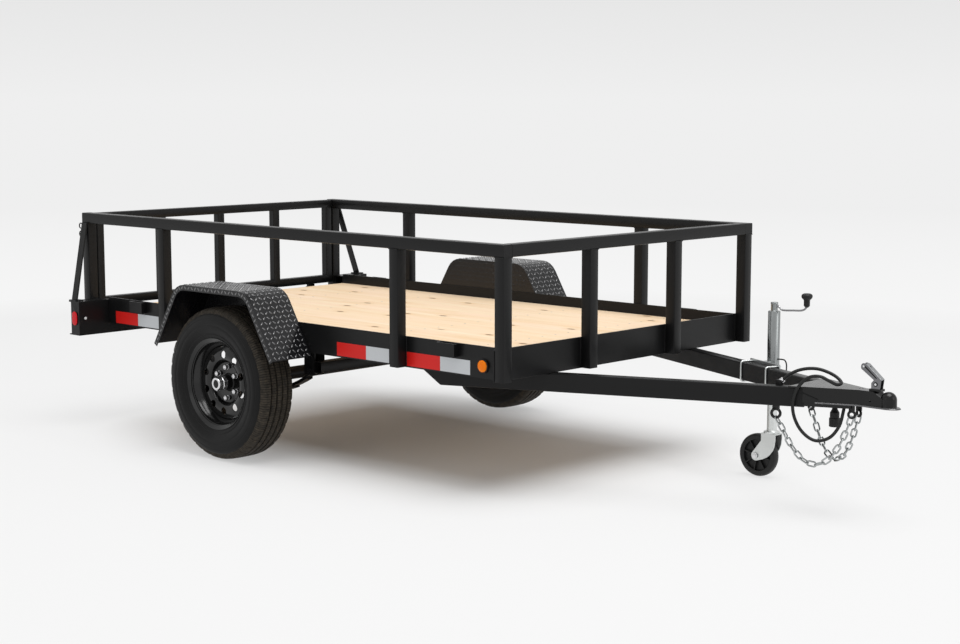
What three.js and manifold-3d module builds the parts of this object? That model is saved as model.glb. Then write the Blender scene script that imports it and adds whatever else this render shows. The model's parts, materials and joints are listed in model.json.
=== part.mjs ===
// A single-axle utility trailer with a wooden deck, a tubular rail on posts, a drop-down
// tailgate, an A-frame tongue and a swivel jack with a caster wheel.
//
// Millimetres, +X forward to the coupler, +Y to the left side, +Z up. Inside the vehicle
// group X is counted from the rear end of the top rail; the exported group moves it so that
// the origin is under the middle of the whole trailer, on the ground.

import * as THREE from 'three';
import { mergeVertices } from 'three/addons/utils/BufferGeometryUtils.js';
import Module from 'manifold-3d';

const wasm = await Module();
wasm.setup();

// ---------------------------------------------------------------- driving dimensions

const seam = 0.3;                 // gap kept between pieces that touch

const tubeSize = 50.8;            // square tube of rails and posts
const tubeWall = 2.5;
const tubeCorner = 5;

const railLength = 2845;          // top rail, outside
const railWidth = 1676;
const railTop = 1050;

const frameTop = 635;
const frameBottom = 505;
const framePlate = 6;
const frameLeg = 50;

const deckTop = 585;
const deckThickness = 36;

const bumperRear = 51.1 + seam;   // rear channel, behind the deck
const bumperDepth = 85;
const bumperPlate = 5;
const bumperBottom = 457;
const bumperTop = 572;
const lightBoxReach = 962;        // outboard end of the light boxes, from the middle
const lightBoxTop = 624;
const tailLampHeight = 60;
const tailLampMargin = 7;
const lightBoxInset = 17;         // the lamp plate, in from the channel's rear edges

const crossmemberStations = [500, 930, 1850, 2400];
const crossmemberWidth = 50;
const crossmemberPlate = 5;

const pocketStations = [400, 2505]; // middles of the stake pockets
const pocketLength = 100;
const pocketDepth = 30;
const pocketWall = 5;
const pocketDrop = 55;            // its bottom, under the frame's top

const sideLampStation = 2690;
const sideLampHeight = 560;
const sideLampRadius = 25;

const sidePostStations = [611, 2201];
const frontPostOffset = 286;      // middle of a front post from the middle of the trailer
const postBottom = 507;

const axleStation = 1235;
const tyreRadius = 344;
const tyreWidth = 205;
const treadWidth = 150;
const rimSeatRadius = 190;
const wheelTrack = 905;           // middle of a wheel from the middle of the trailer
const wheelFacets = 36;
const rimFacets = 30;
const rimFlangeRadius = 207;
const handHoleRadius = 17;
const handHoleRing = 128;         // radius of the ring of hand holes
const handHoles = 10;
const studRing = 69.85;
const studs = 6;

const springMiddle = 722;
const springWidth = 45;
const springHalfSpan = 365;
const springEyeHeight = 423;
const leafThickness = 7;
const axleTubeRadius = 30;

const fenderTop = 778;
const fenderBottom = 490;
const fenderHalfTop = 249;        // from the middle to where the top meets the slope
const fenderHalfSpan = 423;
const fenderReach = 1013;
const fenderPlate = 3;
const fenderSkirt = 25;
const fenderBend = 100;

const tongueWidth = 50.8;         // tube of the A-frame
const tongueHeight = 76.2;
const tongueWall = 4;
const tongueSlope = 0.418;        // sideways run of a beam for each unit forward
const tongueSpread = 362;         // from the middle to a beam's outer face, at the spread station
const tongueUnderFrame = 520;     // length of a beam under the frame
const tongueBevel = 85;
const tongueBevelEnd = 8;         // height of wall left at the bevelled end

const couplerNose = 4102;
const couplerHouse = 357;         // from the coupler's nose back to the beams' front ends
const couplerSpread = 972;        // from the coupler's nose back to the spread station
const couplerLip = 18;            // reach of the bottom lip past the socket
const couplerDome = 31;           // outer radius of the ball socket
const couplerLipHeight = 448;
const couplerLipStart = 312;      // from the coupler's nose back to the lip's rear end
const couplerLipSide = 7;         // reach of the lip past the coupler's side walls
const couplerWall = 5;
const ballRadius = 25.4;
const ballClearance = 1;
const ballHeight = 481;

const jackSetback = 2.45;         // from the middle of the beams' open length back to the jack
const jackOffset = 85;            // from the beam's outer face to the jack's axis
const strapReaches = [-62, 112];  // from the jack forward to the bracket's straps
const jackPivotHeight = 466;
const jackTubeRadius = 26;
const jackTubeWall = 4;
const jackTubeTop = 721;
const jackTubeBottom = 385;
const jackCapTop = 758;
const jackLegRadius = 21;
const jackLegTop = 545;
const casterRadius = 93;
const casterWidth = 42;
const casterTrail = 62;
const casterTop = 196;
const forkGap = 3;
const forkPlate = 4;

const gateTube = 42;
const gateSideGap = 5.5;
const gateTopGap = 2;
const gateBottom = 584;
const gateHinge = { x: 22, z: 560 };
const gateHingePlaces = [-640, -220, 220, 640];
const gatePinRadius = 6;
const gateKnuckleHalf = 22;       // half the length of a hinge barrel


// ---------------------------------------------------------------- derived sizes

const halfRail = railWidth / 2;
const halfTube = tubeSize / 2;
const frameOuter = halfRail - tubeSize - seam;          // side frame's outer face
const frameInner = frameOuter - framePlate;
const frameFront = railLength - tubeSize - seam;        // front frame's outer face
const bumperFront = bumperRear + bumperDepth;
const railUnderside = railTop - tubeSize;
const tongueAngle = Math.atan(tongueSlope);
const tongueRearStation = frameFront - tongueUnderFrame;
const tongueFrontStation = couplerNose - couplerHouse;
const spreadStation = couplerNose - couplerSpread;
const jackStation = (frameFront + tongueFrontStation) / 2 - jackSetback;
const ballStation = couplerNose - couplerLip - couplerDome;
const tongueTop = frameBottom - seam;
const tongueBottom = tongueTop - tongueHeight;
const latchReach = 22;                                  // the gate pins' pull loops, behind the rail

// ---------------------------------------------------------------- materials

const paint = (color, roughness = 0.45, metalness = 0.3) =>
  new THREE.MeshStandardMaterial({ color, roughness, metalness });

const finishes = {
  blackPaint: paint(0x1d1d1f),
  treadPlate: paint(0x222224, 0.35, 0.5),
  wood: paint(0xe9d9bd, 0.75, 0),
  rubber: paint(0x1c1c1c, 0.9, 0),
  zinc: paint(0xb9bdc0, 0.35, 0.9),
  plastic: paint(0x141414, 0.55, 0),
  redLens: paint(0xb3131b, 0.2, 0),
};

// ---------------------------------------------------------------- solids

/** A manifold solid of a closed three.js geometry. */
function solidFrom(geometry) {
  const bare = geometry.clone();
  bare.deleteAttribute('normal');
  bare.deleteAttribute('uv');
  const merged = mergeVertices(bare, 1e-4);
  return new wasm.Manifold(new wasm.Mesh({
    numProp: 3,
    vertProperties: new Float32Array(merged.attributes.position.array),
    triVerts: new Uint32Array(merged.index.array),
  }));
}

/** The three.js geometry of a manifold solid. */
function geometryFrom(solid) {
  const mesh = solid.getMesh();
  const geometry = new THREE.BufferGeometry();
  geometry.setAttribute('position', new THREE.BufferAttribute(mesh.vertProperties, 3));
  geometry.setIndex(new THREE.BufferAttribute(mesh.triVerts, 1));
  geometry.computeVertexNormals();
  return geometry;
}

/** One geometry of pieces that touch. */
function join(...pieces) {
  return geometryFrom(pieces.map(solidFrom).reduce((sum, piece) => sum.add(piece)));
}

/** A geometry with others cut out of it. */
function cut(body, ...tools) {
  return geometryFrom(tools.map(solidFrom).reduce((rest, tool) => rest.subtract(tool), solidFrom(body)));
}

/** The largest body of a geometry, without the small voids that crossing pieces shut in. */
function outerBody(geometry) {
  const bodies = solidFrom(geometry).decompose();
  return geometryFrom(bodies.reduce((best, body) => (body.volume() > best.volume() ? body : best)));
}

/** A block between two corners. */
function block(x0, x1, y0, y1, z0, z1) {
  const geometry = new THREE.BoxGeometry(x1 - x0, y1 - y0, z1 - z0);
  return geometry.translate((x0 + x1) / 2, (y0 + y1) / 2, (z0 + z1) / 2);
}

/** Turns a geometry from its own axes to the three given, then moves it. */
function orient(geometry, xAxis, yAxis, zAxis, origin = [0, 0, 0]) {
  const matrix = new THREE.Matrix4().makeBasis(
    new THREE.Vector3(...xAxis), new THREE.Vector3(...yAxis), new THREE.Vector3(...zAxis));
  return geometry.applyMatrix4(matrix.setPosition(...origin));
}

/** A shape drawn in Y and Z, as a bar along X. */
function barAlongX(shape, x0, x1, curveSegments = 1) {
  const bar = new THREE.ExtrudeGeometry(shape, { depth: x1 - x0, bevelEnabled: false, curveSegments });
  return orient(bar, [0, 1, 0], [0, 0, 1], [1, 0, 0], [x0, 0, 0]);
}

/** A shape drawn in X and Z, as a bar along Y. */
function barAlongY(shape, y0, y1, curveSegments = 1) {
  const bar = new THREE.ExtrudeGeometry(shape, { depth: y1 - y0, bevelEnabled: false, curveSegments });
  return orient(bar, [1, 0, 0], [0, 0, 1], [0, -1, 0], [0, y1, 0]);
}

/** A shape drawn in X and Y, as a bar along Z. */
function barAlongZ(shape, z0, z1, curveSegments = 1) {
  const bar = new THREE.ExtrudeGeometry(shape, { depth: z1 - z0, bevelEnabled: false, curveSegments });
  return bar.translate(0, 0, z0);
}

/** A closed outline of straight lines. */
function outline(points) {
  return new THREE.Shape(points.map(([a, b]) => new THREE.Vector2(a, b)));
}

/** Draws a rectangle with round corners into a shape or a hole. */
function roundedRectangle(path, centreA, centreB, width, height, radius) {
  const left = centreA - width / 2;
  const right = centreA + width / 2;
  const low = centreB - height / 2;
  const high = centreB + height / 2;
  path.moveTo(left + radius, low);
  path.lineTo(right - radius, low);
  path.absarc(right - radius, low + radius, radius, -Math.PI / 2, 0);
  path.lineTo(right, high - radius);
  path.absarc(right - radius, high - radius, radius, 0, Math.PI / 2);
  path.lineTo(left + radius, high);
  path.absarc(left + radius, high - radius, radius, Math.PI / 2, Math.PI);
  path.lineTo(left, low + radius);
  path.absarc(left + radius, low + radius, radius, Math.PI, Math.PI * 1.5);
  path.closePath();
  return path;
}

/** The section of a rectangular tube. */
function tubeSection(centreA, centreB, width, height, wall, radius = tubeCorner) {
  const shape = roundedRectangle(new THREE.Shape(), centreA, centreB, width, height, radius);
  const inside = roundedRectangle(
    new THREE.Path(), centreA, centreB, width - 2 * wall, height - 2 * wall, radius - wall / 2);
  shape.holes.push(inside);
  return shape;
}

/** A round ring or disc section. */
function roundSection(centreA, centreB, radius, holeRadius = 0) {
  const shape = new THREE.Shape();
  shape.absarc(centreA, centreB, radius, 0, Math.PI * 2);
  if (holeRadius > 0) {
    const hole = new THREE.Path();
    hole.absarc(centreA, centreB, holeRadius, 0, Math.PI * 2);
    shape.holes.push(hole);
  }
  return shape;
}

/** A cylinder along an axis between two stations. */
function rod(axis, from, to, radius, [a, b], sides = 16) {
  const geometry = new THREE.CylinderGeometry(radius, radius, to - from, sides);
  const middle = (from + to) / 2;
  if (axis === 'x') return geometry.rotateZ(-Math.PI / 2).translate(middle, a, b);
  if (axis === 'y') return geometry.translate(a, middle, b);
  return geometry.rotateX(Math.PI / 2).translate(a, b, middle);
}

/** A closed profile of [radius, along] points turned round the Y axis, with a flat facet at the bottom. */
function turned(points, facets, y, x, z) {
  const closed = [...points, points[0]].map(([radius, along]) => new THREE.Vector2(radius, along));
  const geometry = new THREE.LatheGeometry(closed, facets, Math.PI / facets);
  return geometry.translate(x, y, z);
}

/** A straight bar of a section between two points, the section's own up axis kept towards Z. */
function strut(shape, start, end, curveSegments = 2) {
  const from = new THREE.Vector3(...start);
  const along = new THREE.Vector3(...end).sub(from);
  const bar = new THREE.ExtrudeGeometry(
    shape, { depth: along.length(), bevelEnabled: false, curveSegments });
  const zAxis = along.normalize();
  const xAxis = new THREE.Vector3(1, 0, 0).addScaledVector(zAxis, -zAxis.x).normalize();
  const yAxis = new THREE.Vector3().crossVectors(zAxis, xAxis);
  return bar.applyMatrix4(new THREE.Matrix4().makeBasis(xAxis, yAxis, zAxis).setPosition(from));
}

/** A polyline with round bends, moved sideways by an offset towards the inside of its bends. */
function bentPath(corners, bend, offset, steps = 4) {
  const points = corners.map(([a, b]) => new THREE.Vector2(a, b));
  const result = [];
  const normalOf = (from, to) => {
    const along = to.clone().sub(from).normalize();
    return new THREE.Vector2(along.y, -along.x);
  };
  points.forEach((point, index) => {
    if (index === 0) {
      result.push(point.clone().addScaledVector(normalOf(point, points[1]), offset));
      return;
    }
    if (index === points.length - 1) {
      result.push(point.clone().addScaledVector(normalOf(points[index - 1], point), offset));
      return;
    }
    const before = normalOf(points[index - 1], point);
    const after = normalOf(point, points[index + 1]);
    const turn = Math.acos(THREE.MathUtils.clamp(before.dot(after), -1, 1));
    const middle = before.clone().add(after).normalize();
    const centre = point.clone().addScaledVector(middle, bend / Math.cos(turn / 2));
    const first = Math.atan2(-before.y, -before.x);
    for (let step = 0; step <= steps; step += 1) {
      const angle = first - turn * step / steps;
      result.push(new THREE.Vector2(
        centre.x + (bend - offset) * Math.cos(angle), centre.y + (bend - offset) * Math.sin(angle)));
    }
  });
  return result;
}

// ---------------------------------------------------------------- scene

const vehicle = new THREE.Group();

/** Adds one named piece to a group. */
function add(name, geometry, material, group = vehicle) {
  const mesh = new THREE.Mesh(geometry, material);
  mesh.name = name;
  group.add(mesh);
  return mesh;
}

const sides = [
  { name: 'left', sign: 1 },
  { name: 'right', sign: -1 },
];

/** A geometry made for the left side, or its mirror image for the right. */
function onSide(geometry, sign) {
  if (sign > 0) return geometry;
  const mirrored = geometry.clone();
  const source = mirrored.index ? mirrored.toNonIndexed() : mirrored;
  const position = source.attributes.position;
  for (let i = 0; i < position.count; i += 3) {
    const corners = [0, 2, 1].map((k) => [
      position.getX(i + k), -position.getY(i + k), position.getZ(i + k)]);
    corners.forEach((corner, k) => position.setXYZ(i + k, ...corner));
  }
  const geometryOut = new THREE.BufferGeometry();
  geometryOut.setAttribute('position', position);
  geometryOut.computeVertexNormals();
  return geometryOut;
}

// ---------------------------------------------------------------- frame

/** The left side's angle rail with its spring hangers and stake pockets. */
function sideRail() {
  const from = bumperFront + seam;
  const to = frameFront - framePlate - seam;
  const angle = barAlongX(outline([
    [frameOuter, frameBottom], [frameOuter, frameTop], [frameInner, frameTop],
    [frameInner, frameBottom + framePlate], [frameInner - frameLeg + framePlate, frameBottom + framePlate],
    [frameInner - frameLeg + framePlate, frameBottom],
  ]), from, to);

  const hangerPlate = 5;
  const hangerHalf = springWidth / 2 + 2;
  const hangerLength = 70;
  const hangerBottom = springEyeHeight - 24;
  const boltRadius = 8;
  const hangers = [-1, 1].flatMap((end) => {
    const x = axleStation + end * springHalfSpan;
    const x0 = x - hangerLength / 2;
    const x1 = x + hangerLength / 2;
    const outer = springMiddle + hangerHalf;
    const inner = springMiddle - hangerHalf;
    return [
      block(x0, x1, inner - hangerPlate, outer + hangerPlate, frameBottom - 8, frameBottom + 0.01),
      block(x0, x1, outer, outer + hangerPlate, hangerBottom, frameBottom - 1),
      block(x0, x1, inner - hangerPlate, inner, hangerBottom, frameBottom - 1),
      rod('y', inner - hangerPlate - 8, outer + hangerPlate + 8, boltRadius, [x, springEyeHeight], 12),
    ];
  });

  const pocketTop = frameTop - 2;
  const pocketBottom = frameTop - pocketDrop;
  const pockets = pocketStations.map((x) => cut(
    block(x - pocketLength / 2, x + pocketLength / 2, frameOuter - 1, frameOuter + pocketDepth,
      pocketBottom, pocketTop),
    block(x - pocketLength / 2 + pocketWall, x + pocketLength / 2 - pocketWall, frameOuter,
      frameOuter + pocketDepth - pocketWall, pocketBottom - 1, pocketTop + 1)));

  const sideLamp = rod('y', frameOuter - 1, frameOuter + 7, sideLampRadius,
    [sideLampStation, sideLampHeight], 20);
  return join(angle, ...hangers, ...pockets, sideLamp);
}

function buildFrame() {
  for (const { name, sign } of sides) {
    add(`side_rail_${name}`, onSide(sideRail(), sign), finishes.blackPaint);
  }

  const legReach = frameInner - frameLeg + framePlate - seam;
  add('front_rail', join(
    block(frameFront - framePlate, frameFront, -halfRail, halfRail, frameBottom, frameTop),
    block(frameFront - frameLeg, frameFront, -legReach, legReach, frameBottom, frameBottom + framePlate),
  ), finishes.blackPaint);

  const crossmemberTop = deckTop - deckThickness - seam;
  const web = crossmemberPlate;
  crossmemberStations.forEach((x, index) => {
    const section = outline([
      [x, frameBottom], [x + crossmemberWidth, frameBottom],
      [x + crossmemberWidth, frameBottom + web], [x + web, frameBottom + web],
      [x + web, crossmemberTop - web], [x + crossmemberWidth, crossmemberTop - web],
      [x + crossmemberWidth, crossmemberTop], [x, crossmemberTop],
    ]);
    add(`crossmember_${index + 1}`, barAlongY(section, -legReach, legReach), finishes.blackPaint);
  });

  add('deck', block(bumperFront + seam, frameFront - framePlate - seam,
    -(frameInner - seam), frameInner - seam, deckTop - deckThickness, deckTop), finishes.wood);
}

/** The oval of a tail lamp, grown by a clearance. */
function lampOutline(clearance) {
  const width = lightBoxReach - halfRail - 2 * tailLampMargin + 2 * clearance;
  const height = tailLampHeight + 2 * clearance;
  return roundedRectangle(new THREE.Shape(), (halfRail + lightBoxReach) / 2, (bumperBottom + lightBoxTop) / 2,
    width, height, Math.min(width, height) / 2 - 0.01);
}

/** The rear channel with a light box on each end. */
function buildBumper() {
  const lip = 12;
  const plate = bumperPlate;
  const channel = barAlongY(outline([
    [bumperRear, bumperBottom], [bumperFront, bumperBottom], [bumperFront, bumperTop], [bumperRear, bumperTop],
    [bumperRear, bumperTop - lip], [bumperRear + plate, bumperTop - lip],
    [bumperRear + plate, bumperTop - plate], [bumperFront - plate, bumperTop - plate],
    [bumperFront - plate, bumperBottom + plate], [bumperRear + plate, bumperBottom + plate],
    [bumperRear + plate, bumperBottom + lip], [bumperRear, bumperBottom + lip],
  ]), -frameInner, frameInner);
  const lampPlate = bumperRear + lightBoxInset;
  const boxes = sides.map(({ sign }) => onSide(join(
    cut(
      block(lampPlate, bumperFront, frameInner - 1, lightBoxReach, bumperBottom, lightBoxTop),
      block(lampPlate + plate, bumperFront - plate, frameInner - 10, lightBoxReach - plate,
        bumperBottom + plate, lightBoxTop - plate),
      barAlongX(lampOutline(seam), lampPlate - 1, lampPlate + plate + 1, 3)),
    block(bumperRear, lampPlate + 1, frameInner - 1, lightBoxReach, bumperBottom, bumperBottom + plate),
    block(bumperRear, lampPlate + 1, frameInner - 1, lightBoxReach, lightBoxTop - plate, lightBoxTop),
    barAlongY(roundedRectangle(new THREE.Shape(), (lampPlate + bumperFront) / 2,
      (bumperBottom + lightBoxTop) / 2, 25, 62, 12.4), lightBoxReach - 1, lightBoxReach + 4, 3),
  ), sign));
  const lugs = gateHingePlaces.flatMap((y) => {
    const near = gateKnuckleHalf + 1;
    const far = near + 6;
    return [
      ...[-1, 1].map((end) => block(gateHinge.x - 9, bumperRear + 1,
        Math.min(y + end * near, y + end * far), Math.max(y + end * near, y + end * far),
        gateHinge.z - 12, gateHinge.z + 10)),
      rod('y', y - far, y + far, gatePinRadius, [gateHinge.x, gateHinge.z], 12),
    ];
  });
  add('rear_bumper', join(channel, ...boxes, ...lugs), finishes.blackPaint);

  for (const { name, sign } of sides) {
    const lamp = barAlongX(lampOutline(0), lampPlate - 6, lampPlate + plate + 20, 3);
    add(`tail_lamp_${name}`, onSide(lamp, sign), finishes.redLens);
  }
}

// ---------------------------------------------------------------- rail and posts

function buildRack() {
  const railMiddle = railTop - halfTube;
  const edge = halfRail - halfTube;
  for (const { name, sign } of sides) {
    const rail = barAlongX(tubeSection(edge, railMiddle, tubeSize, tubeSize, tubeWall), 0, railLength);
    add(`top_rail_${name}`, onSide(rail, sign), finishes.blackPaint);
  }
  const frontEdge = railLength - halfTube;
  add('top_rail_front', barAlongY(tubeSection(frontEdge, railMiddle, tubeSize, tubeSize, tubeWall),
    -(halfRail - tubeSize - seam), halfRail - tubeSize - seam), finishes.blackPaint);

  const post = (x, y) => barAlongZ(
    tubeSection(x, y, tubeSize, tubeSize, tubeWall), postBottom, railUnderside - seam);
  for (const { name, sign } of sides) {
    const stations = [
      ['rear_post', halfTube], ['side_post_1', sidePostStations[0] + halfTube],
      ['side_post_2', sidePostStations[1] + halfTube], ['corner_post', frontEdge],
    ];
    for (const [post_name, x] of stations) {
      add(`${post_name}_${name}`, onSide(post(x, edge), sign), finishes.blackPaint);
    }
    add(`front_post_${name}`, onSide(post(frontEdge, frontPostOffset), sign), finishes.blackPaint);

    const footRear = bumperRear + 2;
    const brace = join(
      strut(outline([[-20, -4], [20, -4], [20, 4], [-20, 4]]),
        [halfTube + 5, halfRail + 4 + 3 * seam, railTop - 50],
        [footRear + 20, lightBoxReach - 20, lightBoxTop + 5]),
      block(footRear, footRear + 56, lightBoxReach - 45, lightBoxReach, lightBoxTop + seam, lightBoxTop + 6),
    );
    add(`rear_brace_${name}`, onSide(brace, sign), finishes.blackPaint);
  }
}

// ---------------------------------------------------------------- axle, springs, fenders, wheels

function buildRunningGear() {
  const spindleEnd = wheelTrack + 30;
  const clampHalf = 50;
  const seatTop = tyreRadius - axleTubeRadius;
  const packThickness = 4 * leafThickness;
  const springTop = seatTop - 12;
  const sag = springEyeHeight - 20 - (springTop - leafThickness);
  const arcRadius = (springHalfSpan ** 2 + sag ** 2) / (2 * sag);
  const seatRise = clampHalf ** 2 / (2 * arcRadius) + 2 * seam;
  const plateTop = springTop - packThickness - 2 * seam;
  const clamps = sides.map(({ sign }) => onSide(join(
    block(axleStation - clampHalf, axleStation + clampHalf, springMiddle - springWidth / 2 - 12,
      springMiddle + springWidth / 2 + 12, plateTop - 8, plateTop),
    block(axleStation - clampHalf, axleStation + clampHalf, springMiddle - springWidth / 2,
      springMiddle + springWidth / 2, springTop + seatRise, seatTop + 6),
    ...[-1, 1].flatMap((end) => [-1, 1].map((hand) => rod('z', plateTop - 16, tyreRadius + axleTubeRadius,
      6, [axleStation + end * (axleTubeRadius + 6), springMiddle + hand * (springWidth / 2 + 7)], 8))),
    ...[-1, 1].map((hand) => rod('x', axleStation - axleTubeRadius - 12, axleStation + axleTubeRadius + 12,
      6, [springMiddle + hand * (springWidth / 2 + 7), tyreRadius + axleTubeRadius], 8)),
  ), sign));
  add('axle', join(
    rod('y', -spindleEnd, spindleEnd, 15, [axleStation, tyreRadius], 16),
    rod('y', -(springMiddle + 60), springMiddle + 60, axleTubeRadius, [axleStation, tyreRadius], 20),
    ...clamps,
  ), finishes.blackPaint);

  const arcCentre = springTop - leafThickness + arcRadius;
  const leafBand = (halfLength, layer) => {
    const outer = arcRadius + leafThickness * layer;
    const inner = arcRadius + leafThickness * (layer - 1) - (layer > 0 ? 0.5 : 0);
    const reach = Math.asin(halfLength / arcRadius);
    const shape = new THREE.Shape();
    shape.absarc(axleStation, arcCentre, outer, -Math.PI / 2 - reach, -Math.PI / 2 + reach);
    shape.absarc(axleStation, arcCentre, inner, -Math.PI / 2 + reach, -Math.PI / 2 - reach, true);
    return barAlongY(shape, springMiddle - springWidth / 2, springMiddle + springWidth / 2, 8);
  };
  const eyes = [-1, 1].map((end) => barAlongY(
    roundSection(axleStation + end * springHalfSpan, springEyeHeight, 21, 8 + seam),
    springMiddle - springWidth / 2, springMiddle + springWidth / 2, 8));
  for (const { name, sign } of sides) {
    const spring = join(
      leafBand(springHalfSpan, 0), leafBand(springHalfSpan - 40, 1),
      leafBand(springHalfSpan - 130, 2), leafBand(springHalfSpan - 220, 3), ...eyes);
    add(`leaf_spring_${name}`, onSide(spring, sign), finishes.blackPaint);
  }

  const braceStation = axleStation + springHalfSpan + 40;
  const braceReach = springMiddle + 40;
  add('spring_crossbrace', barAlongY(
    tubeSection(braceStation + halfTube, springEyeHeight + 16, tubeSize, tubeSize, tubeWall),
    -braceReach, braceReach), finishes.blackPaint);
}

function buildFenders() {
  const middle = axleStation;
  const corners = [
    [middle - fenderHalfSpan, fenderBottom], [middle - fenderHalfTop, fenderTop],
    [middle + fenderHalfTop, fenderTop], [middle + fenderHalfSpan, fenderBottom],
  ];
  const bendRadius = fenderBend;
  const band = (depth) => new THREE.Shape([
    ...bentPath(corners, bendRadius, 0), ...bentPath(corners, bendRadius, depth).reverse()]);
  const inner = frameOuter + seam;
  const skin = barAlongY(band(fenderPlate), inner, fenderReach);
  const skirt = barAlongY(band(fenderSkirt), fenderReach - fenderPlate, fenderReach);
  const back = cut(
    barAlongY(new THREE.Shape(bentPath(corners, bendRadius, 1)), inner, inner + fenderPlate),
    block(0, railLength, 0, railWidth, 0, frameTop - 35));
  for (const { name, sign } of sides) {
    add(`fender_${name}`, onSide(join(skin, skirt, back), sign), finishes.treadPlate);
  }
}

function buildWheels() {
  const facetRadius = tyreRadius / Math.cos(Math.PI / wheelFacets);
  const half = tyreWidth / 2;
  const tread = treadWidth / 2;
  const flangeRadius = rimFlangeRadius;
  for (const { name, sign } of sides) {
    const boreRadius = (rimSeatRadius + seam) / Math.cos(Math.PI / wheelFacets);
    const beadEdge = half - 26.6;
    const tyreProfile = [
      [boreRadius, -beadEdge], [flangeRadius + 6, -half + 18], [252, -half + 1],
      [tyreRadius - 39, -half + 6], [tyreRadius - 10, -tread - 4], [facetRadius, -tread + 14],
      [facetRadius, tread - 14], [tyreRadius - 10, tread + 4], [tyreRadius - 39, half - 6],
      [252, half - 1], [flangeRadius + 6, half - 18], [boreRadius, beadEdge],
    ];
    add(`tyre_${name}`, turned(tyreProfile, wheelFacets, sign * wheelTrack, axleStation, tyreRadius),
      finishes.rubber);

    const rimHalf = half - 26;
    const barrel = [
      [rimSeatRadius, -rimHalf + seam], [rimSeatRadius, -rimHalf + 16], [166, -24], [166, 34],
      [rimSeatRadius, rimHalf - 16], [rimSeatRadius, rimHalf - seam], [flangeRadius, rimHalf + 10],
      [flangeRadius - 5, rimHalf + 10], [rimSeatRadius - 5, rimHalf - 14], [161, 34], [161, -24],
      [rimSeatRadius - 5, -rimHalf + 14], [flangeRadius - 5, -rimHalf - 10], [flangeRadius, -rimHalf - 10],
    ];
    const discOuter = [[163, 30], [128, 42], [102, 35], [90, 11], [42, 8]];
    const disc = [...discOuter, ...discOuter.slice().reverse().map(([radius, along]) => [radius, along - 5])];
    const ringOf = (count, ringRadius, radius, from, to, facets) =>
      Array.from({ length: count }, (_, index) => {
        const angle = (index + 0.5) * 2 * Math.PI / count;
        return rod('y', from, to, radius, [ringRadius * Math.cos(angle), ringRadius * Math.sin(angle)], facets);
      });
    const holes = ringOf(handHoles, handHoleRing, handHoleRadius, 0, 60, 12);
    const rim = cut(join(turned(barrel, rimFacets, 0, 0, 0), turned(disc, rimFacets, 0, 0, 0)),
      ...holes, ...ringOf(studs, studRing, 7.2, 0, 20, 8));
    const hub = join(
      turned([[15.5, -70], [36, -70], [38, -20], [86, -12], [86, 2.5], [34, 2.5], [34, 62], [28, 70],
        [28, 86], [0, 86], [0, 34], [15.5, 34]], 20, 0, 0, 0),
      ...ringOf(studs, studRing, 6, 0, 32, 6), ...ringOf(studs, studRing, 11, 12, 28, 6));
    for (const [label, geometry, finish] of [['rim', rim, finishes.blackPaint], ['hub', hub, finishes.zinc]]) {
      const placed = onSide(geometry, sign);
      add(`${label}_${name}`, placed.translate(axleStation, sign * wheelTrack, tyreRadius), finish);
    }
  }
}

// ---------------------------------------------------------------- tongue and coupler

/** The outer face of the left beam at a station. */
const tongueOuterAt = (x) => tongueSpread - tongueSlope * (x - spreadStation);

/** A group whose X runs along the outer face of a side's beam and whose Y points out of it. */
function beamGroup(sign, station) {
  const group = new THREE.Group();
  group.position.set(station, sign * tongueOuterAt(station), 0);
  group.rotation.z = -sign * tongueAngle;
  vehicle.add(group);
  return group;
}

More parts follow.
